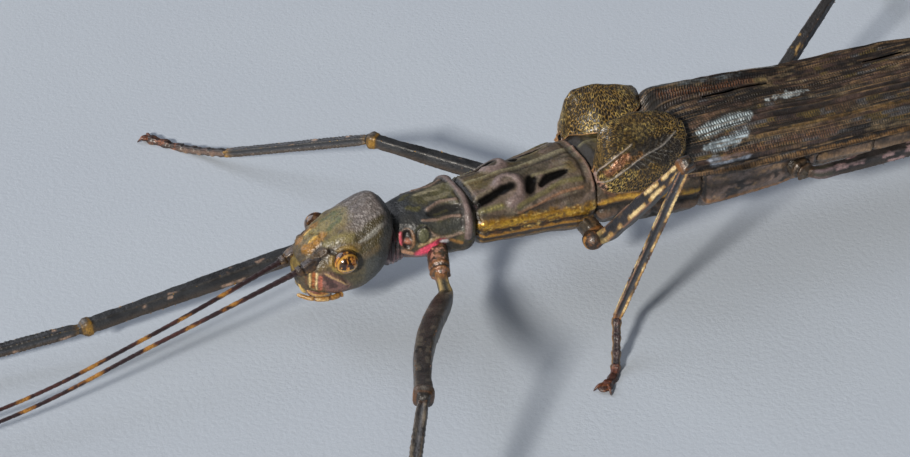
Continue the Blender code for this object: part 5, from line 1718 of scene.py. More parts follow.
@dataclass
class Tegmina:
    """The two short, humped forewings."""

    ribs: tuple = (
        (-0.6, 5.6, 20.9, 6.4, 22.6, 7.3, 19.8), (0.2, 4.6, 22.6, 6.1, 29.2, 8.3, 18.9),
        (2, 2.4, 23.5, 6.2, 30.5, 9.6, 18.4), (6, 0.5, 24.6, 5.9, 30.8, 10.6, 18.4),
        (10, 0.4, 26.1, 5.7, 30.1, 10.7, 19.4), (13.2, 1.4, 26.9, 5.9, 29.2, 10.2, 21.3),
        (15, 3.8, 26.9, 6.7, 28.3, 9.3, 23.6), (15.7, 5.6, 27.1, 6.9, 27.6, 8.2, 25.4),
    )
    rows: int = 140
    columns: int = 150
    thickness: float = 0.3
    middle: float = 6.5
    spread: float = 5.6

    def build(self) -> None:
        """Builds both forewings."""
        for side, name in SIDES:
            self._tegmen(side, name)

    def _sheet(self, side: int) -> np.ndarray:
        """The wing's points: ribs from its base to its tip, each arched over the crest.

        Args:
            side: -1 for the left side, 1 for the right one.

        Returns:
            The points, one row for each rib.
        """
        table = Curve.of(self.ribs)
        share = 0.5 - 0.5 * np.cos(np.pi * np.linspace(0.02, 0.985, self.rows))
        places = self.ribs[0][0] + (self.ribs[-1][0] - self.ribs[0][0]) * share
        sheet = []
        for x, (inner_y, inner_z, crest_y, crest_z, outer_y, outer_z) in zip(places, table(places)):
            flank = (x, side * (outer_y + 0.05), outer_z * 0.62 + crest_z * 0.38)
            arch = [(x, side * inner_y, inner_z), (x, side * crest_y, crest_z), flank,
                    (x, side * outer_y, outer_z)]
            if side > 0:
                arch = [(min(a, 2) + 0.88 * max(a - 2, 0), b, c) for a, b, c in arch]
            sheet.append(spline(arch, self.columns))
        return np.array(sheet)

    @staticmethod
    def _edge(sheet: np.ndarray) -> np.ndarray:
        """How far each point is from the margin, in mm."""
        sides = (sheet[:, :1], sheet[:, -1:], sheet[:1], sheet[-1:])
        return np.minimum.reduce([np.linalg.norm(sheet - side, axis=2) for side in sides])

    def _rays(self, sheet: np.ndarray) -> tuple[np.ndarray, np.ndarray]:
        """How far each point is from the middle of the wing and which way, as mm on a circle round it.

        Args:
            sheet: the wing's points.

        Returns:
            The distances and the ways, in mm.
        """
        steps = np.linalg.norm(np.diff(sheet, axis=1), axis=2)
        down = np.concatenate([np.zeros((len(sheet), 1)), np.cumsum(steps, axis=1)], axis=1)
        crest = int(self.columns * 0.6)
        down = down - down[:, crest][:, None]
        ahead = np.linalg.norm(np.diff(sheet, axis=0), axis=2)
        along = np.concatenate([np.zeros((1, sheet.shape[1])), np.cumsum(ahead, axis=0)])
        along = along - along[int(np.abs(sheet[:, crest, 0] - self.middle).argmin())]
        return np.hypot(down, along), np.arctan2(down, along) * self.spread

    def _tegmen(self, side: int, name: str) -> None:
        """One forewing: net of veins, two stout ones from the base, a black field and a bronze patch.

        Args:
            side: -1 for the left side, 1 for the right one.
            name: the side's name.
        """
        sheet = self._sheet(side)
        skin = Skin(sheet, "#7d6431", 0.42, round_about=False)
        outward = sheet - np.array([7, side * 5.5, 22])
        if (skin.normals * outward).sum() < 0:
            skin.normals = -skin.normals
        skin.gilt[:] = 0.2
        skin.weather((2.2, "#a08a4c", 0.8, 0, 201), (1.8, "#4a3a1c", 0.4, 0.3, 202))
        edge = self._edge(sheet)
        skin.around, skin.along = self._rays(sheet)
        folded = skin.seen_from_left()
        far, _ = path_distance(folded, np.array(BLACK_FIELD))
        black = 1 - ease(1.2, 2.4, far + 0.6 * grain(sheet, 1.4, 204))
        skin.paint(black * 0.92, "#3a342c", 0.05)
        skin.clouds(0.9, "#14100e", 0.85, 0, 205, only=black)
        fans = [Mark([(4.6 + 0.9 * step, -10, 24 + 0.3 * step), (6 + 1.2 * step, -10.6, 22.4 + 0.45 * step)],
                     0.09, "#7d7a74", 0.85, 0.12, 0.02) for step in range(6)]
        fans += [Mark([(6.6 + 1.1 * step, -9.9, 24.9 + 0.25 * step),
                       (7.4 + 1.2 * step, -9.3, 27 + 0.1 * step)], 0.09, "#6f6c66", 0.8, 0.12, 0.02)
                 for step in range(5)]
        skin.mark([
            Mark(BRONZE_PATCH, 0.75, "#9c6a4c", 0.9, 0.1, 0.6, 0.3, rough=-0.14, gilt=0.6),
            Mark([(4, -9.6, 24.2), (6.2, -9.9, 25)], 0.5, "#a87840", 0.6, 0, 0.6, rough=-0.1, gilt=0.5),
            *fans,
            *STOUT_VEINS,
            Mark([(-0.4, -6.4, 20.8), (0.6, -8, 19.6)], 0.7, "#9a7468", 0.9, 0.25, 0.2),
        ])
        stout = np.minimum(*(path_distance(folded, skin.laid(one, folded))[0] for one in STOUT_VEINS))
        skin.pitted = ease(0.12, 0.26, stout) * ease(0.12, 0.3, edge)
        bronze, _ = path_distance(folded, np.array(BRONZE_PATCH))
        skin.pitted *= 0.35 + 0.65 * ease(0.5, 1.1, bronze)
        skin.paint((1 - ease(0.12, 0.34, edge)) * 0.9, "#96724c")
        skin.lift += 0.1 * bell(edge - 0.2, 0.18)
        patch = 1 - ease(0.4, 1, bronze + 0.5 * grain(sheet, 0.8, 207))
        skin.clouds(0.6, "#2c180f", 0.85, 0.05, 208, only=patch)
        # pale copper flecks on the bronze patch: painted glints
        skin.clouds(0.5, "#e8b088", 0.7, 0.3, 209, only=patch)
        skin.roughen(0.7, 0.14, 218, only=patch)
        skin.roughen(2.4, 0.12, 206)
        skin.lift *= ease(0, 0.2, edge)
        put(f"forewing_{name}", skin.mesh(f"forewing_{name}", thickness=self.thickness), NetWing(),
            "tegmen_membrane", f"tegmen_{name}")


HINDWING_MARKS: tuple[Mark, ...] = (
    # front black shadow beside the forewing, then the pale blue ladder and the plain pale field, whose blue
    # grey is partly the membrane's own pale tone and partly a painted sheen
    Mark([(15.2, -8.6, 21), (16.4, -7.8, 24.8), (16.8, -6.4, 26.6), (16.2, -3, 27)], 2.1, "#0d0a09", 0.95, 0,
         0.6),
    Mark([(19.2, -7.7, 24.9), (23, -7.4, 25.6), (28.6, -7.2, 26)], 1.1, "#bccbd0", 0.95, 0, 0.5, taper=0.2),
    Mark([(17.6, -8.1, 24.1), (22, -7.7, 25), (28.2, -7.5, 25.3)], 0.13, "#171514", 0.9, -0.08, 0.05),
    Mark([(19.8, -9, 22.6), (23, -9, 22.4), (27.4, -8.6, 23.6)], 0.95, "#a6b5be", 0.85, 0, 0.9, taper=0.3),
    Mark([(20.2, -9.6, 20.2), (22, -9.8, 19.6), (27.6, -9.8, 19.4)], 0.95, "#97a1b0", 0.8, 0, 0.6, taper=0.3),
    # a crease down the near wing painted near black: painted shade in the fold
    Mark([(16.4, -5.6, 27), (19.2, -4.9, 27.6), (24.2, -3.5, 27.8), (28.6, -2.9, 27.9), (36.5, -3.7, 27.8)],
         0.34, "#0c0908", 0.95, -0.16, 0.15, both=False),
    Mark([(17.8, -6.7, 26.4), (24, -5.9, 27.6), (32, -5.4, 27.9)], 0.8, "#6a5140", 0.8, 0.12, 0.4),
    # another pale blue-grey field: partly the membrane's own tone, partly a painted sheen
    Mark([(33.2, -5.6, 27.6), (38, -5.4, 27.6), (42, -5.2, 27.5)], 0.5, "#a8b2b6", 0.75, 0.1, 0.9, taper=0.8),
    Mark([(23, -9.9, 20.4), (31, -9.9, 20.6), (45, -9.8, 20.4)], 0.8, "#6e4d38", 0.75, 0, 0.5),
    Mark([(29, -9.4, 22.6), (45, -9.2, 22.8), (70, -8.6, 21.6)], 0.4, "#7a5f34", 0.6, 0.1, 0.6, taper=0.6,
         gilt=0.15),
    Mark([(18, -9.6, 18.2), (25.3, -9.9, 17.6), (33.6, -9.9, 17.7), (45, -9.8, 17.2), (66, -9.1, 16.4)], 0.45,
         "#7c5c36", 0.7, 0.2, 0.4),
    Mark([(18, -9.8, 18.9), (33.6, -10, 18.5), (66, -9.2, 17.4)], 0.3, "#130d0a", 0.8, -0.2, 0.3),
)
ORANGE_STRIPE = ((13.5, 3.2, 27.6), (17.6, 2.2, 28), (24.9, 1.2, 28.4), (34, 1, 28.4))
FAR_WING_MARKS: tuple[Mark, ...] = (
    Mark(ORANGE_STRIPE, 0.6, "#6c452c", 0.65, 0, 0.5, both=False),
    Mark([(15, 5.4, 28.2), (21.5, 4, 28.9), (34.7, 3.4, 28.8)], 0.9, "#6f7a80", 0.7, 0, 0.6, both=False),
    # the far wing's front painted near black and rough: painted shade of the dark gap beside the forewing
    Mark([(12.6, 7, 27.6), (13.6, 5, 29), (14.3, 3, 28.4), (14.9, 1.4, 26.6)], 1.25, "#0c0908", 0.96, 0, 0.4,
         rough=0.4, both=False),
)
# where the ladder of cross-veins is left out, and where it is strongest
PLAIN_FIELD = ((18.6, -9.6, 20.4), (27.6, -9.8, 19.4))
WHITE_FIELD = ((17.6, -7.9, 24.6), (22, -7.4, 25.6), (28.2, -7.2, 26))
# ground of the strands: near black, with brown, tan, grey and olive gold ones, each for a range of chances
STRAND_TINTS = ((0, 0.22, "#1b1411"), (0.3, 0.45, "#4a3831"), (0.45, 0.6, "#5f4a35"),
                (0.6, 0.7, "#5d5c5e"), (0.7, 0.84, "#66552a"), (0.84, 0.95, "#44322c"))


@dataclass
class Hindwings:
    """The two long hindwings, folded like fans along the back."""

    ribs: tuple = (
        (9, 8.9, 25.2, 18.6, 8.5, 22.4, 2.4), (13, 9.1, 26.6, 18, 8.8, 22.3, 2.6),
        (16.5, 9.7, 27.9, 17.8, 9.1, 22.3, 1.8), (21, 9.9, 28.2, 17.5, 9.4, 22.2, 1.3),
        (30, 10, 28.2, 17, 9.5, 22.2, 1.2), (44, 9.9, 27.4, 16.4, 9.2, 22, 1.2),
        (66, 9.2, 27.5, 15.8, 8.2, 20.6, 0.8), (84, 7.8, 24.2, 14, 7.2, 18.2, 0.5),
        (95, 6.4, 19.6, 12.6, 6.4, 16.6, 0.3), (101, 4.2, 15.9, 12.9, 5.4, 15.3, 0.1),
    )
    rows: int = 520
    outer_columns: int = 130
    inner_columns: int = 26
    strands: int = 21
    far_rise: tuple = ((9, 0), (13, 1), (14.6, 2.4), (16.5, 1.9), (21, 1.2), (30, 0.5), (44, 0))

    def build(self) -> None:
        """Builds both hindwings."""
        for side, name in SIDES:
            self._wing(side, name)

    def _rings(self, side: int) -> tuple[np.ndarray, np.ndarray]:
        """The wing's closed rings, and each column's share of the way from the lower edge to the top.

        Args:
            side: -1 for the left side, 1 for the right one.

        Returns:
            The rings and the shares.
        """
        table = Curve.of(self.ribs)
        places = np.linspace(self.ribs[0][0], self.ribs[-1][0], self.rows)
        half, top, edge_z, core_half, core_top, valley = (c[:, None] for c in table(places).T)
        if side > 0:
            rise = Curve.of(self.far_rise)(places)
        centre = np.where(places < 60, 15, 15 - (places - 60) * 0.11)[:, None]
        lines = []
        for wide, high, count, outer in ((half, top, self.outer_columns, True),
                                         (core_half, core_top, self.inner_columns, False)):
            share = np.linspace(0, 1, count)[None, :]
            low = np.arcsin(np.clip((edge_z - centre) / (high - centre), 0.02, 0.9) ** 1.25)
            angle = low + (math.pi / 2 - low) * share
            y = np.maximum(wide * superpower(np.cos(angle), 2.5), 0.18)
            z = centre + (high - centre) * superpower(np.sin(angle), 2.5)
            if side > 0:
                z = z + rise * ease(0.3, 3.4, y) * ease(0.2, 1, share)
            if outer:
                z = z - valley * np.maximum(0, 1 - 1.6 * y / wide) ** 2
            lines.append(xyz(places[:, None], side * y, z))
        rings = np.concatenate([lines[0], lines[1][:, ::-1], lines[0][:, :1]], axis=1)
        share = np.concatenate([np.linspace(0, 1, self.outer_columns), np.linspace(1, 0, self.inner_columns),
                                [0]])
        return rings, share

    def _wing(self, side: int, name: str) -> None:
        """One hindwing: long strands, some pale and some dark, each with its ladder of cross-veins.

        Args:
            side: -1 for the left side, 1 for the right one.
            name: the side's name.
        """
        rings, share = self._rings(side)
        skin = Skin(close_ends(rings, 0), "#2e241f", 0.45)
        x = skin.base[..., 0]
        q = np.broadcast_to(share, x.shape)
        outer = np.zeros_like(x)
        outer[:, : self.outer_columns] = 1
        uneven = q + 0.05 * grain(xyz(q * 7), 1, 210)
        strand = uneven * self.strands + 0.7 * grain(xyz(x, q * 9), 17, 211)
        within = strand % 1
        vein = bell(np.minimum(within, 1 - within), 0.13)
        number = np.floor(strand)
        chance = (np.sin(number * 12.9898 + 4.1) * 43758.5453) % 1
        place = xyz(x, number * 7.3, number * 3.1)
        pick = (chance + 0.3 * cloud(place, 9, 212)) % 1
        for low, high, tint in STRAND_TINTS:
            chosen = ease(low - 0.02, low + 0.02, pick) * ease(high + 0.02, high - 0.02, pick)
            skin.paint(chosen * outer * 0.8, tint)
        skin.weather((2.4, "#120e0c", 0.8, -0.05, 214, 3.5), (1.5, "#8c7a5c", 0.4, 0.3, 215, 4))
        folded = skin.seen_from_left()
        skin.mark(HINDWING_MARKS)
        if side > 0:
            skin.mark(FAR_WING_MARKS)
        lit = ease(-0.3, 0.5, cloud(place, 6, 216))
        skin.paint(vein * outer * 0.75 * lit, "#8a7050")
        skin.paint(vein * outer * 0.6 * (1 - lit), "#14100e")
        skin.paint(bell(within - 0.16, 0.07) * outer * 0.7, "#150f0c")
        skin.lift += (0.22 * vein - 0.1 * np.sin(np.pi * within)) * outer * ease(9, 14, x)
        skin.lift += 0.12 * grain(xyz(x * 0.35, q * 12), 1.6, 213) * outer
        skin.lift += 0.14 * grain(xyz(x * 0.12, q * 14), 0.9, 217) * outer
        plain = near_path(folded, PLAIN_FIELD, 0.6, 1.4)
        ladder = 0.35 + 0.5 * ease(0.2, 0.7, chance)
        white = near_path(folded, WHITE_FIELD, 0.9, 1.6)
        orange = near_path(skin.base, ORANGE_STRIPE, 0.8, 1.4) if side > 0 else 0
        skin.pitted = np.clip((ladder + white + orange) * (1 - 0.9 * plain) * (1 - 0.8 * vein) * outer, 0, 1)
        skin.paint(1 - outer, "#2a201b")
        skin.around = strand
        skin.lift *= ease(9, 10, x) * ease(101, 98, x)
        put(f"hindwing_fan_{name}", skin, LadderWing(), "folded_wing_membrane", f"hindwing_{name}")


# ---------------------------------------------------------------- legs
class Pair(Enum):
    """Which pair a leg belongs to."""

    FORE = "fore"
    MID = "mid"
    HIND = "hind"


@dataclass(frozen=True)
class Livery:
    """The colours of one leg.

    Attributes:
        ground: the colour of the shaft.
        patch: the colour of the rows of patches.
        line: the colour of the keels.
        knee: the colour of the joint's rim.
        foot: the colour of the foot.
        light: the colour of the middle of the brightest patches.
        level: how few patches there are, as a noise level.
        under: the colour of the shaft's lower half.
        coxa: the colour of the pale clouds on the coxa.
        rim: the colour of the edges of the femur's slim base.
    """

    ground: str
    patch: str
    line: str
    knee: str
    foot: str
    light: str
    level: float = 0.1
    under: str = "#3a3028"
    coxa: str = "#9c7248"
    rim: str = "#a8905c"


MID_LIVERY = Livery("#222228", "#b08a50", "#97705a", "#96602a", "#5a3022", "#f0d8a0", -0.35, coxa="#6a5238")
NEAR_FORE_LIVERY = Livery("#3f3935", "#5a5247", "#6a5e50", "#8a5a2e", "#33302c", "#6e6558", 0.1,
                          coxa="#c8947e")
FAR_FORE_LIVERY = Livery("#2c2d2f", "#7c6454", "#3c3835", "#b0842e", "#3c2a22", "#a98f7c", 0.62, "#4c3d2e")
HIND_LIVERY = Livery("#2c2828", "#7a6266", "#5d5152", "#5a4634", "#4e3022", "#98807e", 0, coxa="#4c4036",
                     rim="#66565a")
FAR_HIND_LIVERY = Livery("#221f1e", "#86683a", "#4a4240", "#6a4e34", "#3c2a22", "#a8884e", 0.3, "#2a2522")


@dataclass(frozen=True)
class LegSizes:
    """Half widths of one pair's joints, in mm."""

    coxa: float
    femur: float
    tibia: float
    base: float


SIZES = {
    Pair.FORE: LegSizes(1.8, 1.45, 0.9, 0.72),
    Pair.MID: LegSizes(1.75, 1.4, 0.82, 0.86),
    Pair.HIND: LegSizes(1.8, 1.15, 0.85, 0.8),
}
TARSUS_HALF = 0.85
# the spacing of the rings, in mm
FEMUR_STEP = 0.24
TIBIA_STEP = 0.2


@dataclass
class Leg:
    """One leg: coxa, femur, tibia and foot, with spines, bristles and claws."""

    pair: Pair
    name: str
    livery: Livery
    root: Point
    hip: Point
    bend: Point
    knee: Point
    ankle: Point
    heel: Point
    toe: Point
    bow: Point = (0, 0, 0)
    seed: int = 0
    stout: float = 1.0
    shin: Point = (0, 0, 0)

    def build(self) -> None:
        """Builds the four joints."""
        self.sizes = SIZES[self.pair]
        self.tag = f"{self.pair.value}_{self.name}"
        self._coxa()
        self._femur()
        self._tibia()
        self._foot()

    def _place(self, kind: str, part: str, meshes: list, finish: Finish, slot: str) -> None:
        """Joins the meshes of one joint and puts them in place of its CAD node."""
        name = f"{part}_{self.tag}"
        put(name, joined(name, meshes), finish, slot, f"{kind}_{self.tag}")

    def _coxa(self) -> None:
        """The coxa: a short folded barrel, with a dark groove before the leg turns free."""
        root, hip = np.array(self.root), np.array(self.hip)
        stout = self.sizes.coxa
        share = np.linspace(0, 1.12, 60)
        path = root + (hip - root) * share[:, None]
        halves = stout * Curve([0, 0.3, 0.6, 0.85, 0.93, 1, 1.12],
                               [0.8, 0.95, 0.98, 0.9, 0.84, 0.9, 0.6])(share)[:, 0]
        swept = sweep(path, halves, 56, 2.4, lambda a: 1 + 0.05 * np.cos(3 * a + self.seed))
        skin = Skin(swept.points, "#3f372c", 0.38)
        seed = 300 + self.seed * 20
        skin.weather((1.6, self.livery.knee, 0.5, 0.2, seed), (1, "#1d1713", 0.85, 0.1, seed + 1),
                     (0.9, self.livery.coxa, 0.65, 0.15, seed + 2))
        length = float(np.linalg.norm(hip - root))
        done = swept.along / length
        groove = bell(done - 0.93, 0.05)
        skin.paint(groove * 0.85, "#17100c")
        skin.lift -= 0.15 * groove
        bead = bell(done - 0.8, 0.06) + bell(done - 1.02, 0.05)
        skin.paint(np.clip(bead, 0, 1) * 0.7, self.livery.knee)
        skin.gilt += 0.2 * np.clip(bead, 0, 1)
        skin.lift += 0.14 * bead
        wavy = swept.angle * 7 + 0.8 * grain(skin.base, 1.5, seed)
        skin.lift += 0.05 * np.cos(wavy) * ease(0.1, 0.4, swept.along)
        skin.roughen(1.3, 0.09, seed + 3)
        skin.roughen(0.5, 0.06, seed + 4)
        made = [skin.mesh("coxa")]
        if self.pair is Pair.MID:
            made.append(self._knob(seed + 5))
        self._place("coxa", "coxa_barrel", made, LIMB_PLATE, "olive_cuticle")

    def _knob(self, seed: int) -> bpy.types.Mesh:
        """The round knob on which the femur turns, with a bright crescent at its side.

        Args:
            seed: picks its pattern.

        Returns:
            Its mesh.
        """
        size = self.sizes.coxa * 1.05
        x, y, z = self.hip[0] - 1.2, self.hip[1] - 0.2, self.hip[2] + 0.3
        knob = ball_skin((x, y, z), (size, size, size * 0.95), "#35261a", 0.5, 36, 48)
        knob.clouds(1.1, "#7a4c22", 0.7, 0, seed)
        knob.clouds(0.8, "#150d09", 0.8, 0.1, seed + 1)
        knob.mark([Mark([(x - 0.8 * size, y, z + 0.6), (x - 0.9 * size, y - 0.3, z - 0.5),
                         (x - 0.4, y - 0.5, z - size)], 0.3, "#c08a44", 0.85, 0.08, 0.2, gilt=0.3)])
        knob.roughen(0.7, 0.05, seed + 2)
        return knob.mesh("knob")

    def _femur_path(self) -> tuple[np.ndarray, np.ndarray]:
        """The femur's middle line and half widths, the same as the solid's.

        Returns:
            The line and the half widths.
        """
        hip, bend, knee = np.array(self.hip), np.array(self.bend), np.array(self.knee)
        half, base = self.sizes.femur * self.stout, self.sizes.base / self.stout
        shaft = ((0.1, 0.94), (0.25, 1), (0.45, 0.98), (0.65, 0.9), (0.85, 0.8), (0.93, 0.86), (0.98, 0.86))
        steps = [(hip, 0.7), (hip + (bend - hip) * 0.45, base), (bend, base + 0.12)]
        steps += [(bend + (knee - bend) * at, size) for at, size in shaft]
        steps.append((knee + unit(knee - bend) * half * 0.4, 0.5))
        length = np.linalg.norm(knee - hip)
        points = np.array([
            point + np.array(self.bow) * math.sin(math.pi * min(np.linalg.norm(point - hip) / length, 1))
            for point, _ in steps
        ])
        travelled = gone_along(points)
        rows = int(travelled[-1] / FEMUR_STEP)
        where = np.linspace(0, travelled[-1], rows)
        line = np.stack([np.interp(where, travelled, points[:, k]) for k in range(3)], axis=1)
        for _ in range(10):
            line[1:-1] = (line[:-2] + 2 * line[1:-1] + line[2:]) / 4
        halves = Curve(travelled, np.array([size for _, size in steps]) * half)(where)[:, 0]
        return line, halves

    @staticmethod
    def _keels(sharp: float) -> Callable[[np.ndarray], np.ndarray]:
        """The outline of a shaft with four keels that stand proud by the share sharp."""
        return lambda a: 1 - sharp * 0.5 + sharp * keels(a) ** 3

    def _dress(self, skin: Skin, swept: Swept, seed: int, rows: tuple[float, ...]) -> None:
        """Paints a shaft: mottled ground, keels in their own colour and rows of patches beside them.

        Args:
            skin: the shaft's skin.
            swept: its rings.
            seed: picks its pattern.
            rows: where the rows of patches run, in half turns.
        """
        coat = self.livery
        skin.clouds(2.2, "#0f0e10", 0.7, 0, seed, stretch=(1.5, 1.5, 1.2))
        turn = swept.angle
        skin.paint(ease(0.2, -0.5, np.sin(turn)) * 0.6, coat.under)
        for number, middle in enumerate(math.pi * row for row in rows):
            spots = cloud(xyz(swept.along, number * 9, turn * 0.8), 2.3, seed + 1, 2)
            near = 1 - ease(0.12, 0.36, turned_from(turn, middle) + 0.1 * grain(skin.base, 0.8, seed))
            patch = ease(coat.level, coat.level + 0.3, spots) * near
            skin.paint(patch * 0.92, coat.patch)
            skin.paint(patch * ease(0, 0.5, spots + 0.5 * cloud(skin.base, 0.6, seed + 4)) * 0.75, coat.light)
        for number in range(4):
            keel = turned_from(turn, math.pi / 4 + number * math.pi / 2)
            broken = grain(xyz(swept.along, 0, number), 1.5, seed + 3)
            skin.paint(bell(keel, 0.13) * ease(-0.6, 0.2, broken) * 0.75, coat.line)

    def _femur(self) -> None:
        """The femur: a slim curved base, a keeled shaft with rows of patches, and a swollen knee."""
        line, halves = self._femur_path()
        length = length_of(line)
        swept = sweep(line, halves, 44, 2.6 - 2.2 * (self.stout - 1), self._keels(0.16))
        skin = Skin(swept.points, self.livery.ground, 0.45)
        seed = 301 + self.seed * 20
        self._dress(skin, swept, seed, (0.36, 0.64, -0.14, 1.14, 0.14, 0.86))
        share = swept.along / length
        # the base near the body is a bulb
        bulb = ease(0.04, 0.02, share)
        edges = ease(0, 0.03, share) * ease(0.14, 0.09, share) * keels(swept.angle) ** 3
        skin.paint(ease(0.12, 0.08, share) * 0.8, "#3c3b31")
        skin.paint(edges * 0.9, self.livery.rim)
        skin.paint(bulb * 0.8, self.livery.knee)
        skin.clouds(0.8, "#2a1c12", 0.7, 0.1, seed + 5, only=bulb)
        # the knee: thin gold rims round a dark, grey-centred cap
        left = length - swept.along
        skin.paint(ease(2.1, 1.8, left) * 0.9, "#17130f")
        rim = bell(left - 1.85, 0.16) + 0.35 * bell(left - 0.45, 0.12)
        skin.paint(np.clip(rim, 0, 1) * 0.9, self.livery.knee, -0.1, 0.4)
        cap = bell(left - 1.15, 0.4) * bell(np.cos(swept.angle), 0.5)
        skin.paint(cap * 0.8, "#77716a")
        cheek = bell(left - 1.35, 0.65) * np.abs(np.cos(swept.angle)) ** 3
        skin.paint(cheek * 0.75, self.livery.knee)
        skin.lift += 0.12 * rim + 0.05 * cap + 0.2 * self.sizes.femur * bell(left - 1.1, 0.7)
        skin.lift -= 0.1 * bell(left - 2.6, 0.4)
        skin.roughen(1.6, 0.06, seed + 6)
        skin.roughen(0.5, 0.03, seed + 7)
        spines = self._spines(line, halves, np.linspace(0.3, 0.9, int(length / 3.2)), 0.6, seed)
        self._place("femur", "femur_shaft", [skin.mesh("shaft"), spines], LIMB_PLATE, "dark_limb_cuticle")

    def _spines(self, line: np.ndarray, halves: np.ndarray, places: np.ndarray, size: float,
                seed: int) -> bpy.types.Mesh:
        """Small hooked spines in rows along the keels of a shaft.

        Args:
            line: the shaft's middle line.
            halves: its half widths.
            places: the shares of its length where spines stand.
            size: their height in mm.
            seed: picks their spread.

        Returns:
            One mesh with all of them, painted, with the same layers as a skin.
        """
        tangents = unit(np.gradient(line, axis=0))
        frames = carried(tangents)
        bm = bmesh.new()
        chance = np.random.default_rng(seed)
        order = np.clip((places * (len(line) - 1)).astype(int), 1, len(line) - 2)
        for i in order:
            side_to = frames[i]
            up = np.cross(side_to, tangents[i])
            for turn in (math.pi * 0.25, math.pi * 0.75, -math.pi * 0.25, -math.pi * 0.75):
                if chance.random() < 0.35:
                    continue
                turn += chance.normal(0, 0.08)
                out = side_to * math.cos(turn) + up * math.sin(turn)
                lean = unit(out * 0.8 + tangents[i] * (0.55 + 0.2 * chance.random()))
                tall = size * (0.5 + 0.6 * chance.random())
                spot = line[i] + out * halves[i] + lean * tall * 0.35
                turned = Vector(lean).to_track_quat("Z", "Y").to_matrix().to_4x4()
                where = Matrix.Translation(Vector((spot + STAND) * MM)) @ turned
                bmesh.ops.create_cone(bm, cap_ends=True, segments=5, radius1=tall * 0.26 * MM,
                                      radius2=0.01 * MM, depth=tall * MM, matrix=where)
        made = bpy.data.meshes.new("spines")
        bm.to_mesh(made)
        bm.free()
        layer(made, self.livery.knee, 0.35)
        return made

    def _tibia(self) -> None:
        """The tibia: a slim grooved shaft with saw-edged, bristly keels."""
        knee, ankle = np.array(self.knee), np.array(self.ankle)
        half = self.sizes.tibia
        length = float(np.linalg.norm(ankle - knee))
        rows = int(length / TIBIA_STEP)
        share = np.linspace(0, 1, rows)
        line = knee + (ankle - knee) * share[:, None] + np.sin(np.pi * share)[:, None] * np.array(self.shin)
        shaft = ((0, 0.7), (0.05, 1), (0.3, 1), (0.6, 0.92), (0.9, 0.92), (1, 0.8))
        halves = Curve([s for s, _ in shaft], [h * half for _, h in shaft])(share)[:, 0]
        swept = sweep(line, halves, 44, 2.7, self._keels(0.2))
        skin = Skin(swept.points, self.livery.ground, 0.45)
        seed = 305 + self.seed * 20
        self._dress(skin, swept, seed, (0.36, 0.64, -0.16, 1.16))
        keel = keels(swept.angle) ** 6
        saw = (swept.along / 0.85) % 1
        skin.lift += 0.14 * keel * saw * ease(0.05, 0.12, swept.along / length)
        skin.lift -= 0.12 * (1 - keels(swept.angle)) ** 3
        ends = bell(swept.along, 0.9) + bell(swept.along - length, 1.1)
        skin.paint(np.clip(ends, 0, 1) * 0.6, self.livery.knee)
        skin.paint(bell(swept.along, 0.6) * 0.9, "#16110e")
        skin.paint((1 - keels(swept.angle)) ** 2 * 0.55 * ease(0, 3, swept.along), "#4c4f56", -0.1)
        skin.roughen(0.6, 0.05, seed + 6)
        made = [skin.mesh("shaft"), self._bristles(line, halves, seed)]
        self._place("tibia", "tibia_shaft", made, LIMB_PLATE, "dark_limb_cuticle")

    def _bristles(self, line: np.ndarray, halves: np.ndarray, seed: int) -> bpy.types.Mesh:
        """Fine dark bristles along the tibia's keels, joined as one mesh."""
        places = np.arange(0.06, 0.98, 0.42 / max(len(line) * TIBIA_STEP, 1))
        return self._spines(line, halves * 1.02, places, 0.42, seed + 9)

    def _foot(self) -> None:
        """The foot: five joints with pads under them, a round pad between the claws, and two claws."""
        ankle, heel, toe = np.array(self.ankle), np.array(self.heel), np.array(self.toe)
        rows = 110
        route = spline([ankle, heel, toe], rows)
        swell = (0.8, 0.95, 0.72, 0.92, 0.7, 0.95, 0.75, 1, 0.72, 1.05, 0.8, 1.1, 0.7)
        share = np.linspace(0, 1, rows)
        halves = TARSUS_HALF * Curve(np.linspace(0, 1, len(swell)), swell)(share)[:, 0]
        swept = sweep(route, halves, 32, 2.4)
        skin = Skin(swept.points, self.livery.foot, 0.42)
        seed = 310 + self.seed * 20
        skin.weather((0.9, "#9a5c3c", 0.6, 0.1, seed), (0.7, "#1d0f0b", 0.8, 0.05, seed + 1))
        done = swept.along / length_of(route)
        joints = (0.2, 0.385, 0.56, 0.72)
        pinch = sum(bell(done - j, 0.016) for j in joints)
        skin.paint(np.clip(pinch, 0, 1) * 0.85, "#120a07")
        upper = ease(0.66, 0.56, done)
        skin.paint(upper * 0.75, self.livery.ground)
        skin.paint(upper * np.abs(np.cos(swept.angle)) ** 6 * 0.7, self.livery.patch)
        skin.lift -= 0.14 * np.clip(pinch, 0, 1)
        pad = sum(bell(done - j + 0.035, 0.03) for j in (*joints, 0.98))
        under = ease(0.1, -0.7, np.sin(swept.angle))
        skin.paint(np.clip(pad * under, 0, 1) * 0.8, "#a0846c")
        skin.lift += 0.16 * pad * under
        skin.lift += 0.06 * np.cos(swept.angle * 6) * (1 - under)
        skin.roughen(0.5, 0.05, seed + 2)
        made = [skin.mesh("foot", lowest=0)]
        ahead = unit(toe - heel)
        centre = toe + ahead * 0.5 + np.array([0, 0, 0.12])
        pulvillus = ball_skin(tuple(centre), (1.05, 0.9, 0.48), "#3c2318", 0.4, 18, 24)
        pulvillus.clouds(0.5, "#a5623a", 0.7, 0, seed + 3)
        made.append(pulvillus.mesh("pad", lowest=0.02))
        out = np.cross(ahead, (0, 0, 1))
        for side in (-1, 1):
            start = toe - ahead * 0.6 + out * side * 0.12 + np.array([0, 0, 0.2])
            middle = start + (ahead * 0.6 + out * side * 0.4) * 2 + np.array([0, 0, 0.25])
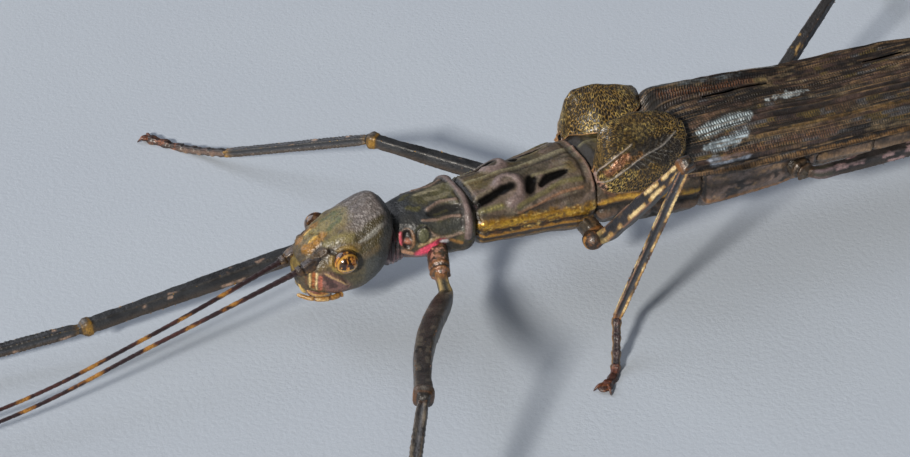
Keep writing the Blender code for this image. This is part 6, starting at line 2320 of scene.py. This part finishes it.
            tip = start + (ahead + out * side * 0.7) * 2 - np.array([0, 0, 0.5])
            curve = spline([tuple(start), tuple(middle), tuple(tip)], 24)
            girth = Curve([0, 0.4, 0.8, 1], [0.36, 0.31, 0.18, 0.06])(np.linspace(0, 1, 24))[:, 0]
            claw = Skin(sweep(curve, girth, 12, 2.1).points, "#5f3622", 0.3)
            claw.paint(ease(tip[2] + 0.9, tip[2] + 0.2, claw.base[..., 2]) * 0.6, "#0d0706")
            claw.clouds(0.6, "#a5623a", 0.5, 0.1, seed + 4)
            made.append(claw.mesh("claw", lowest=0.03))
        self._place("tarsus", "foot", made, FOOT_PLATE, "red_brown_foot_cuticle")


def layer(mesh: bpy.types.Mesh, tint: str, rough: float) -> None:
    """Gives a mesh made by operators the UV map and the attributes that a skin has, in one colour.

    Args:
        mesh: the mesh.
        tint: its colour.
        rough: its roughness.
    """
    count = len(mesh.vertices)
    if "UVMap" not in mesh.uv_layers:
        mesh.uv_layers.new(name="UVMap")
    for title, values in (("tint", linear(tint)), ("feel", np.array([rough, 0.1, 0.3]))):
        held = mesh.color_attributes.new(title, "FLOAT_COLOR", "POINT")
        held.data.foreach_set("color", np.tile([*np.clip(values, 0, 1), 1], count))


LEGS = (
    Leg(Pair.FORE, "left", NEAR_FORE_LIVERY, (-28.9, -4.8, 13.4), (-30.7, -9.8, 11.7), (-30.9, -14, 9.6),
        (-54.5, -56, 24), (-72, -93, 3), (-75, -98, 0.5), (-79.5, -107, 0.5),
        (-1.9, 0.6, 0), 1, 1.22, (-2, 0, 0)),
    Leg(Pair.FORE, "right", FAR_FORE_LIVERY, (-29.2, 4.8, 13.4), (-30.9, 9.8, 11.7), (-34.6, 11.2, 9.5),
        (-86.6, 9.1, 5), (-136, 11.5, 2.2), (-141, 12.2, 0.5), (-151, 14, 0.5), seed=2),
    Leg(Pair.MID, "left", MID_LIVERY, (-2.6, -5, 13.2), (-1.5, -10.4, 10.8), (-0.9, -13, 13.2),
        (2.3, -31.3, 35.8), (-6.6, -26.6, 6), (-10.1, -33, 0.5), (-13.6, -36.2, 0.5), seed=3),
    Leg(Pair.MID, "right", FAR_FORE_LIVERY, (-3.9, 5, 13.2), (-3, 10.2, 10.2), (-4.6, 12.4, 9.9),
        (-24.7, 33.6, 12.9), (-44.2, 56.4, 2.8), (-49.4, 65, 0.5), (-54.4, 71.4, 0.5), seed=4),
    Leg(Pair.HIND, "left", HIND_LIVERY, (37.6, -5.6, 14.8), (39, -10.2, 13.8), (41.6, -11.2, 13.4),
        (87, -15, 16.8), (125, -42, 3), (128.6, -46, 0.5), (134, -54, 0.5), seed=5),
    Leg(Pair.HIND, "right", FAR_HIND_LIVERY, (37.6, 5.6, 14.8), (39.4, 10.2, 13.6), (42.4, 12, 13.6),
        (77.4, 33.4, 29.4), (105, 67, 3), (108, 71, 0.5), (113, 79.5, 0.5), seed=6),
)


# ---------------------------------------------------------------- stage
@dataclass
class Stage:
    """The pale floor, the soft lights and the camera."""

    floor_size: float = 5.0
    lens: float = 95.2
    sensor: float = 36.0
    camera_at: Point = (-168.9, -311.9, 227.8)
    camera_turn: tuple[float, float, float] = (58.0, 0.0, -25.0)

    def build(self) -> None:
        """Builds the stage."""
        self._floor()
        self._light("key_light", (-6300.0, -5025.0, 3985.0), 0.9, 1010.0, "#fff8ee")
        self._light("side_light", (-3760.0, 4950.0, 4060.0), 6.5, 292.0, "#f4f6ff")
        self._light("top_light", (-320.0, -600.0, 9300.0), 7.5, 67.0, "#ffffff")
        self._sky()
        self._camera()

    def _floor(self) -> None:
        """A plain matt board, with a fine tooth like card."""
        bm = bmesh.new()
        bmesh.ops.create_grid(bm, x_segments=1, y_segments=1, size=self.floor_size / 2)
        mesh = bpy.data.meshes.new("floor")
        bm.to_mesh(mesh)
        bm.free()
        floor = bpy.data.objects.new("floor", mesh)
        bpy.context.scene.collection.objects.link(floor)
        # matt card: rough, no gleam, with a tooth of about half a millimetre
        shade = Shade("matt_card")
        tone = shade.mix(shade.noise(60.0, 2.0).outputs[0], rgba("#b3bcc8"), rgba("#bac3cd"))
        normal = shade.bump(shade.noise(0.9, 5.0).outputs[0], 0.09)
        made = shade.done(Base_Color=tone, Roughness=0.85, Specular_IOR_Level=0.25, Normal=normal)
        mesh.materials.append(made)

    def _light(self, name: str, at: Point, size: float, power: float, tint: str) -> None:
        """One square area light that faces the animal, so far off that the floor is evenly lit.

        Args:
            name: its name.
            at: its place, in body mm.
            size: its side, in metres.
            power: its power, in watts.
            tint: its colour.
        """
        lamp = bpy.data.lights.new(name, "AREA")
        lamp.energy = power
        lamp.size = size
        lamp.color = tuple(linear(tint))
        made = bpy.data.objects.new(name, lamp)
        made.location = (np.array(at) + STAND) * MM
        toward = -Vector(at)
        made.rotation_euler = toward.to_track_quat("-Z", "Y").to_euler()
        bpy.context.scene.collection.objects.link(made)

    def _sky(self) -> None:
        """An even, faint, slightly blue light from all round."""
        world = bpy.data.worlds.new("studio")
        world.use_nodes = True
        background = world.node_tree.nodes["Background"]
        background.inputs[0].default_value = rgba("#c3cddb")
        background.inputs[1].default_value = 0.14
        bpy.context.scene.world = world
        bpy.context.scene.view_settings.view_transform = "Standard"

    def _camera(self) -> None:
        """The camera, above and before the animal's left side."""
        data = bpy.data.cameras.new("camera")
        data.lens = self.lens
        data.sensor_width = self.sensor
        data.clip_start = 0.01
        made = bpy.data.objects.new("camera", data)
        made.location = (np.array(self.camera_at) + STAND) * MM
        made.rotation_euler = Euler([math.radians(turn) for turn in self.camera_turn])
        bpy.context.scene.collection.objects.link(made)
        bpy.context.scene.camera = made


def main() -> None:
    """Builds the whole animal, part by part, and its stage."""
    logging.basicConfig(level=logging.INFO, format="%(name)s: %(message)s")
    Stage().build()
    for part in (Head(), Feelers(), Thorax(), Abdomen(), Tegmina(), Hindwings(), *LEGS):
        LOG.info("building %s", type(part).__name__)
        part.build()


if __name__ == "__main__":
    main()
